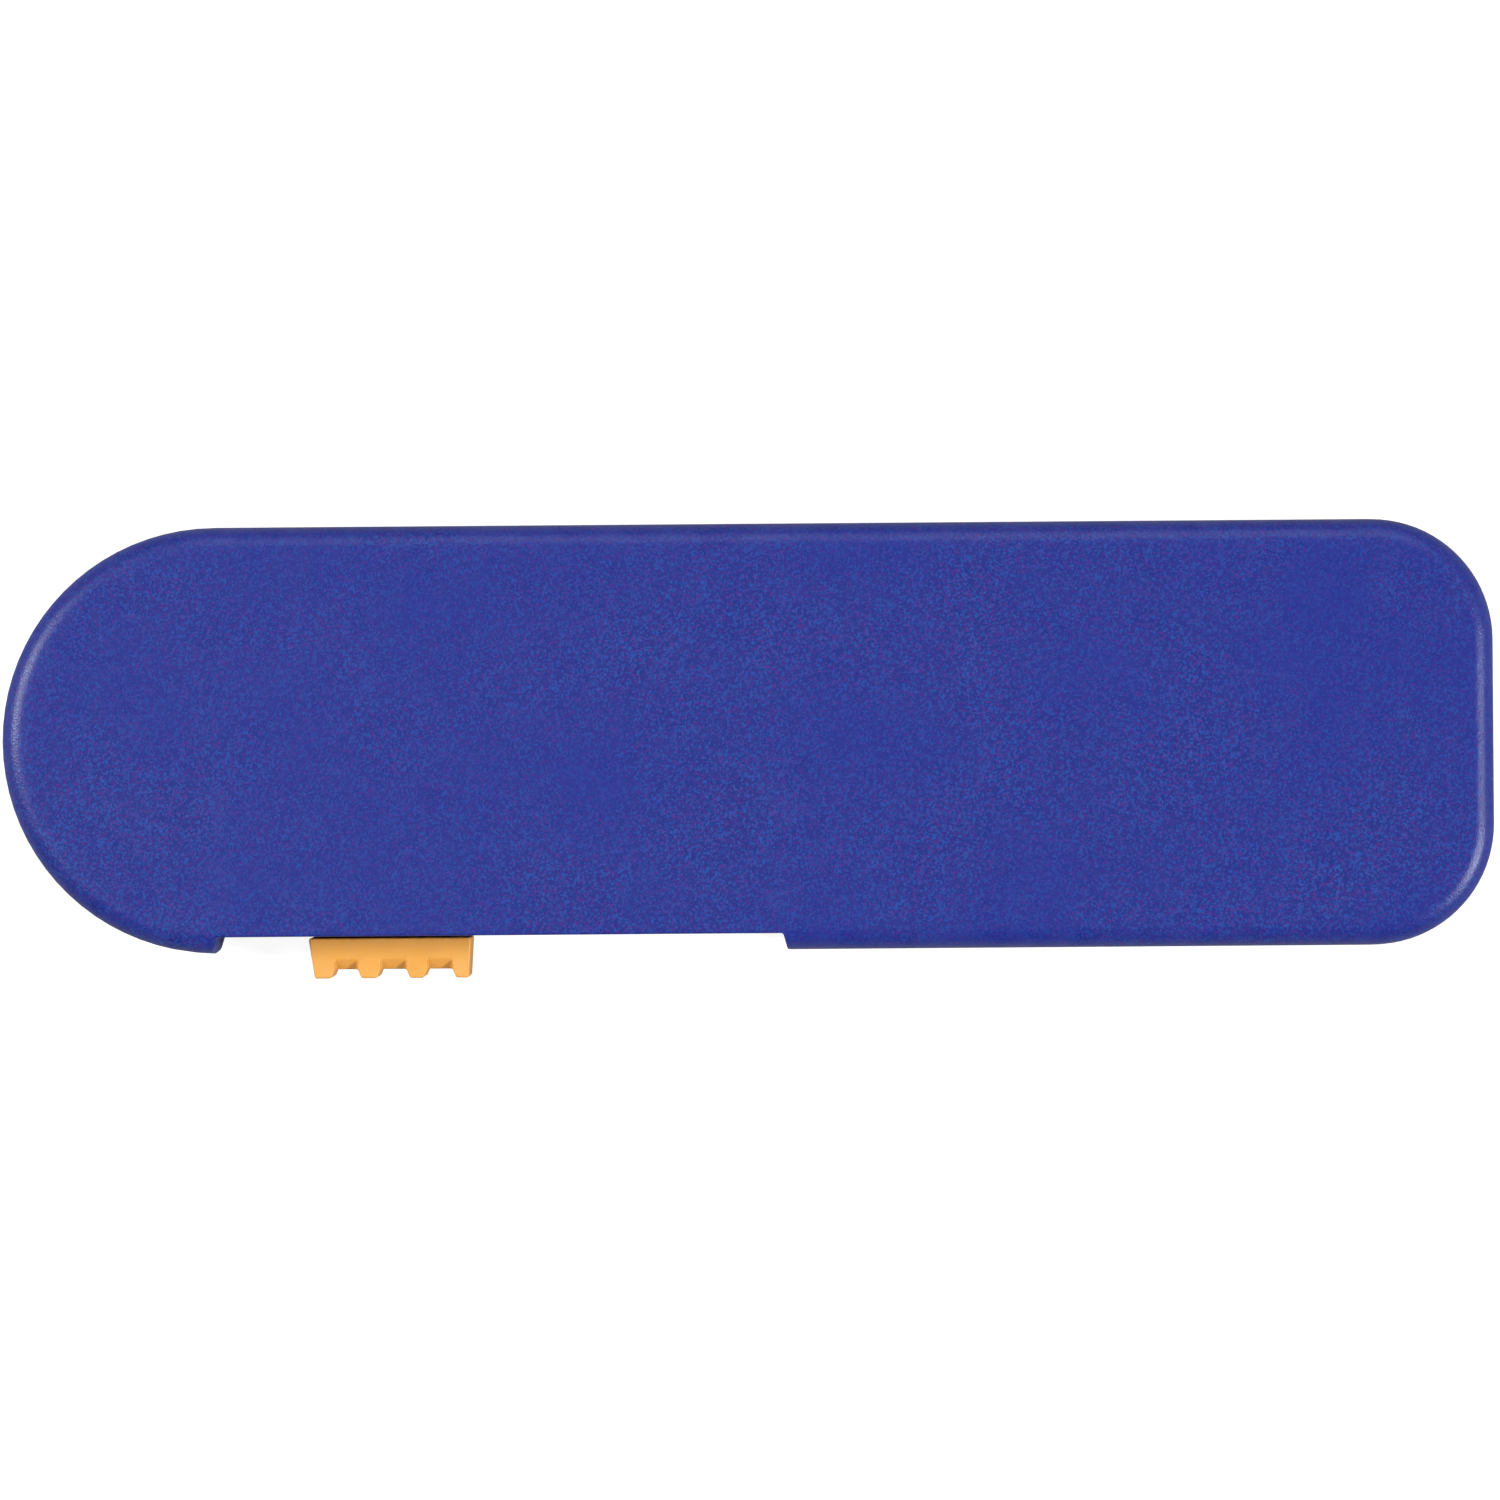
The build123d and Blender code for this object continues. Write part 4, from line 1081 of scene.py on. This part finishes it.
# %% The pad
FRONT_TRIMS = (0.12, 0.0, 0.2, 0.06)  # mm that each layer's front edge falls short
felt_layers = []
for layer, trim in enumerate(FRONT_TRIMS, 1):
    low, high = box_mm(f"felt_layer_{layer}")
    slab = felt_slab(f"felt_{layer}", low, high, trim)
    hole = [(0, low[2] - 1), (RIVET_HOLE_R, low[2] - 1), (RIVET_HOLE_R, high[2] + 1), (0, high[2] + 1)]
    holes = [turned("hole", hole, at, 24) for at in RIVETS]
    slab = cut(slab, join("holes", holes))
    place(slab, "slide", "felt", FELT, f"felt_layer_{layer}")
    felt_layers.append(slab)
pad_low, pad_high = box_mm("felt_layer_1")[0], box_mm(f"felt_layer_{len(felt_layers)}")[1]
fuzz = place(fibres("felt_fuzz", pad_low, pad_high), "slide", "felt", FELT)
for layer, slab in enumerate(felt_layers):
    low, high = box_mm(f"felt_layer_{layer + 1}")
print("felt open edges:", [open_edges(slab) for slab in felt_layers])

# %% [markdown]
# ## Carriage, clamp and spring
# These three are plain engineering shapes, and the CAD model has them right. What it lacks is the
# small round that moulding and stamping leave on every edge. So each is a copy of its CAD node,
# with its loose triangles merged and flat faces made whole before the edges are rounded.

# %% Softened copies of CAD nodes
FLAT = math.radians(1.0)


def softened(node, name, width_mm, body, slot, material):
    """A copy of a CAD node with small rounds on its edges, standing for that node."""
    copy = bpy.data.objects.new(name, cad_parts[node].data.copy())
    bpy.context.collection.objects.link(copy)
    work = bmesh.new()
    work.from_mesh(copy.data)
    bmesh.ops.remove_doubles(work, verts=work.verts, dist=MERGE)
    bmesh.ops.dissolve_limit(work, angle_limit=FLAT, verts=work.verts, edges=work.edges)
    work.to_mesh(copy.data)
    work.free()
    copy.data.shade_smooth()
    copy.data.set_sharp_from_angle(angle=CREASE)
    settle(soften(copy, width_mm, limit=40))
    return place(copy, body, slot, material, node)


softened("slide_carriage", "slide_carriage_moulding", 0.1, "slide", "carriage_plastic", CARRIAGE_GREY)
softened("pad_clamp", "pad_clamp_moulding", 0.1, "slide", "carriage_plastic", CARRIAGE_GREY)
softened("detent_spring", "detent_spring_strip", 0.05, "slide", "spring_steel", SPRING_STEEL)

# %% [markdown]
# ## Screws and rivets
# A self-tapping screw is turned wire with a rolled thread, and its thread is a surface with two
# parameters: the radius depends on how far along the helix a point lies. The cross recess is
# punched, which here is two crossing cuts with straight walls. The rivets have low domed heads.

# %% Screws and rivets
SCREW_LOW, SCREW_HIGH = box_mm("case_screws")[0][2], box_mm("case_screws")[1][2]
HEAD_R, CORE_R, CREST_R, THREAD_PITCH = 1.9, 0.68, 0.95, 0.8
THREAD_FROM = 2.3
RECESS, RECESS_DEPTH = (1.05, 0.26), 0.6  # half length and half width of the cross's arms


def make_screw(name, centre):
    """Head, neck, thread and blunt tip as one turned grid whose radius follows the helix."""
    steps = 40
    head = [(0.0, 0.0), (1.0, 0.0), (1.45, 0.05), (1.75, 0.22), (HEAD_R, 0.5), (HEAD_R, 1.15)]
    head += [(HEAD_R - 0.06, 1.2), (CREST_R, 1.2), (CORE_R, 1.5), (CORE_R, THREAD_FROM - SCREW_LOW)]
    head = np.array(head)
    threads = np.arange(THREAD_FROM, SCREW_HIGH - 0.9, THREAD_PITCH / 8)[1:, None]
    turn = np.linspace(0, 2 * np.pi, steps, endpoint=False)[None]
    phase = (threads / THREAD_PITCH - turn / (2 * np.pi)) % 1.0
    ridge = np.clip(1.0 - np.abs(phase - 0.5) * 3.2, 0.0, 1.0)
    fade = np.clip((threads - THREAD_FROM) / 0.6, 0, 1)
    fade = fade * np.clip((SCREW_HIGH - 0.9 - threads) / 0.6, 0.2, 1)
    thread_r = CORE_R + (CREST_R - CORE_R) * ridge * fade
    tip = np.array([(CORE_R, -0.8), (0.42, -0.15), (0.3, 0.0), (0.0, 0.0)]) + (0.0, SCREW_HIGH)
    radius = np.vstack([head[:, :1] * np.ones_like(turn), thread_r, tip[:, :1] * np.ones_like(turn)])
    height = np.vstack([head[:, 1:] + SCREW_LOW, threads, tip[:, 1:]]) * np.ones_like(turn)
    x, y = centre[0] + radius * np.cos(turn), centre[1] + radius * np.sin(turn)
    grid = np.stack([x, y, height], axis=-1)
    screw = make_mesh(name, grid, ring_faces(*grid.shape[:2]))
    for along, aside in (RECESS, RECESS[::-1]):
        arm = block(centre[0] - along, centre[0] + along, centre[1] - aside, centre[1] + aside)
        screw = cut(screw, prism("recess", arm, SCREW_LOW - 1, SCREW_LOW + RECESS_DEPTH))
    return screw


def make_rivet(name, centre, low, high):
    """A rivet between two heights: shank with a low dome at each end."""
    dome = [(0.0, 0.0), (0.8, 0.02), (1.2, 0.1), (1.42, 0.25), (1.5, 0.45)]
    profile = [(radius, low + height) for radius, height in dome] + [(0.8, low + 0.45), (0.8, high - 0.45)]
    profile += [(radius, high - height) for radius, height in dome[::-1]]
    return turned(name, profile, centre)


screws = join("case_screws_turned", [make_screw("screw", centre) for centre in BOSS_CENTRES])
place(screws, "case", "screw_steel", ZINC, "case_screws")
rivet_low, rivet_high = box_mm("pad_rivets")[0][2], box_mm("pad_rivets")[1][2]
rivets = join("pad_rivets_turned", [make_rivet("rivet", centre, rivet_low, rivet_high) for centre in RIVETS])
place(rivets, "slide", "screw_steel", ZINC, "pad_rivets")

# %% [markdown]
# ## Light and floor
# The eraser lies on a plain white floor in soft light. A large soft light on each side draws the
# bright line that runs along the rounded edge at both ends. A weak light in front keeps the thumb
# grip, which stands back from the face, out of shadow; it stays off the axis, because straight
# above the face it would wash out the deep blue. A fourth, above, keeps the far edge from going
# dark. The floor is white to the eye, yet throws little light back, or it would draw a pale rim
# round the case. It is a stage, not a part: from below it is clear, and light passes it close to
# where the case touches it, so the back can be seen.

# %% Floor and lights
bpy.context.scene.view_settings.view_transform = "Standard"


def soft_light(name, at, size, power):
    """A square area light aimed at the middle of the object."""
    data = bpy.data.lights.new(name, "AREA")
    data.shape, data.size, data.energy = "SQUARE", size, power
    light = bpy.data.objects.new(name, data)
    light.location = at
    light.rotation_euler = (-Vector(at)).to_track_quat("-Z", "Y").to_euler()
    bpy.context.collection.objects.link(light)
    return light


soft_light("right_softbox", (0.76, -0.25, 0.56), 0.20, 7.3)
soft_light("left_softbox", (-0.77, 0.19, 0.56), 0.27, 6.2)
soft_light("upper_softbox", (0.10, 0.72, 0.80), 0.7, 2.5)
soft_light("front_softbox", (-0.42, -0.12, 1.05), 0.50, 1.55)

world = bpy.data.worlds.new("studio")
world.use_nodes = True
world.node_tree.nodes["Background"].inputs["Color"].default_value = (1.0, 1.0, 1.0, 1.0)
world.node_tree.nodes["Background"].inputs["Strength"].default_value = 0.16
bpy.context.scene.world = world

TOUCH = 0.0005  # metres from the floor within which light passes it
REACH = 2.0
floor_mesh = bpy.data.meshes.new("floor")
floor_corners = [(x, y, 0.0) for x, y in block(-REACH, REACH, -REACH, REACH)]
floor_mesh.from_pydata(floor_corners, [], [(0, 1, 2, 3)])
floor = bpy.data.objects.new("floor", floor_mesh)
bpy.context.collection.objects.link(floor)
floor_shader = dict(Roughness=0.9, Specular_IOR_Level=0.1)
floor_paint, floor_tree, floor_surface, here = start_material("floor_paint", **floor_shader)
floor_surface.inputs["Emission Color"].default_value = (1.0, 1.0, 1.0, 1.0)
paper = remap(floor_tree, noise(floor_tree, here, 0.02, 3.0), 0.0, 1.0, 0.34, 0.38)
grey = mix_colour(floor_tree, paper, (0.0, 0.0, 0.0), (1.0, 1.0, 1.0))
floor_tree.links.new(grey, floor_surface.inputs["Base Color"])
from_below = add_node(floor_tree, "NewGeometry").outputs["Backfacing"]
path = floor_tree.nodes.new("ShaderNodeLightPath")
seen = path.outputs["Is Camera Ray"]
touching = math_node(floor_tree, "LESS_THAN", path.outputs["Ray Length"], TOUCH)
clear = math_node(floor_tree, "MAXIMUM", from_below, touching)
nothing = add_node(floor_tree, "BsdfTransparent").outputs[0]
see_through = add_node(floor_tree, "MixShader", {0: clear, 1: floor_surface.outputs["BSDF"], 2: nothing})
floor_tree.links.new(math_node(floor_tree, "MULTIPLY", seen, 0.88), floor_surface.inputs["Emission Strength"])
floor_end = next(node for node in floor_tree.nodes if node.type == "OUTPUT_MATERIAL")
floor_tree.links.new(see_through.outputs[0], floor_end.inputs["Surface"])
floor.data.materials.append(floor_paint)
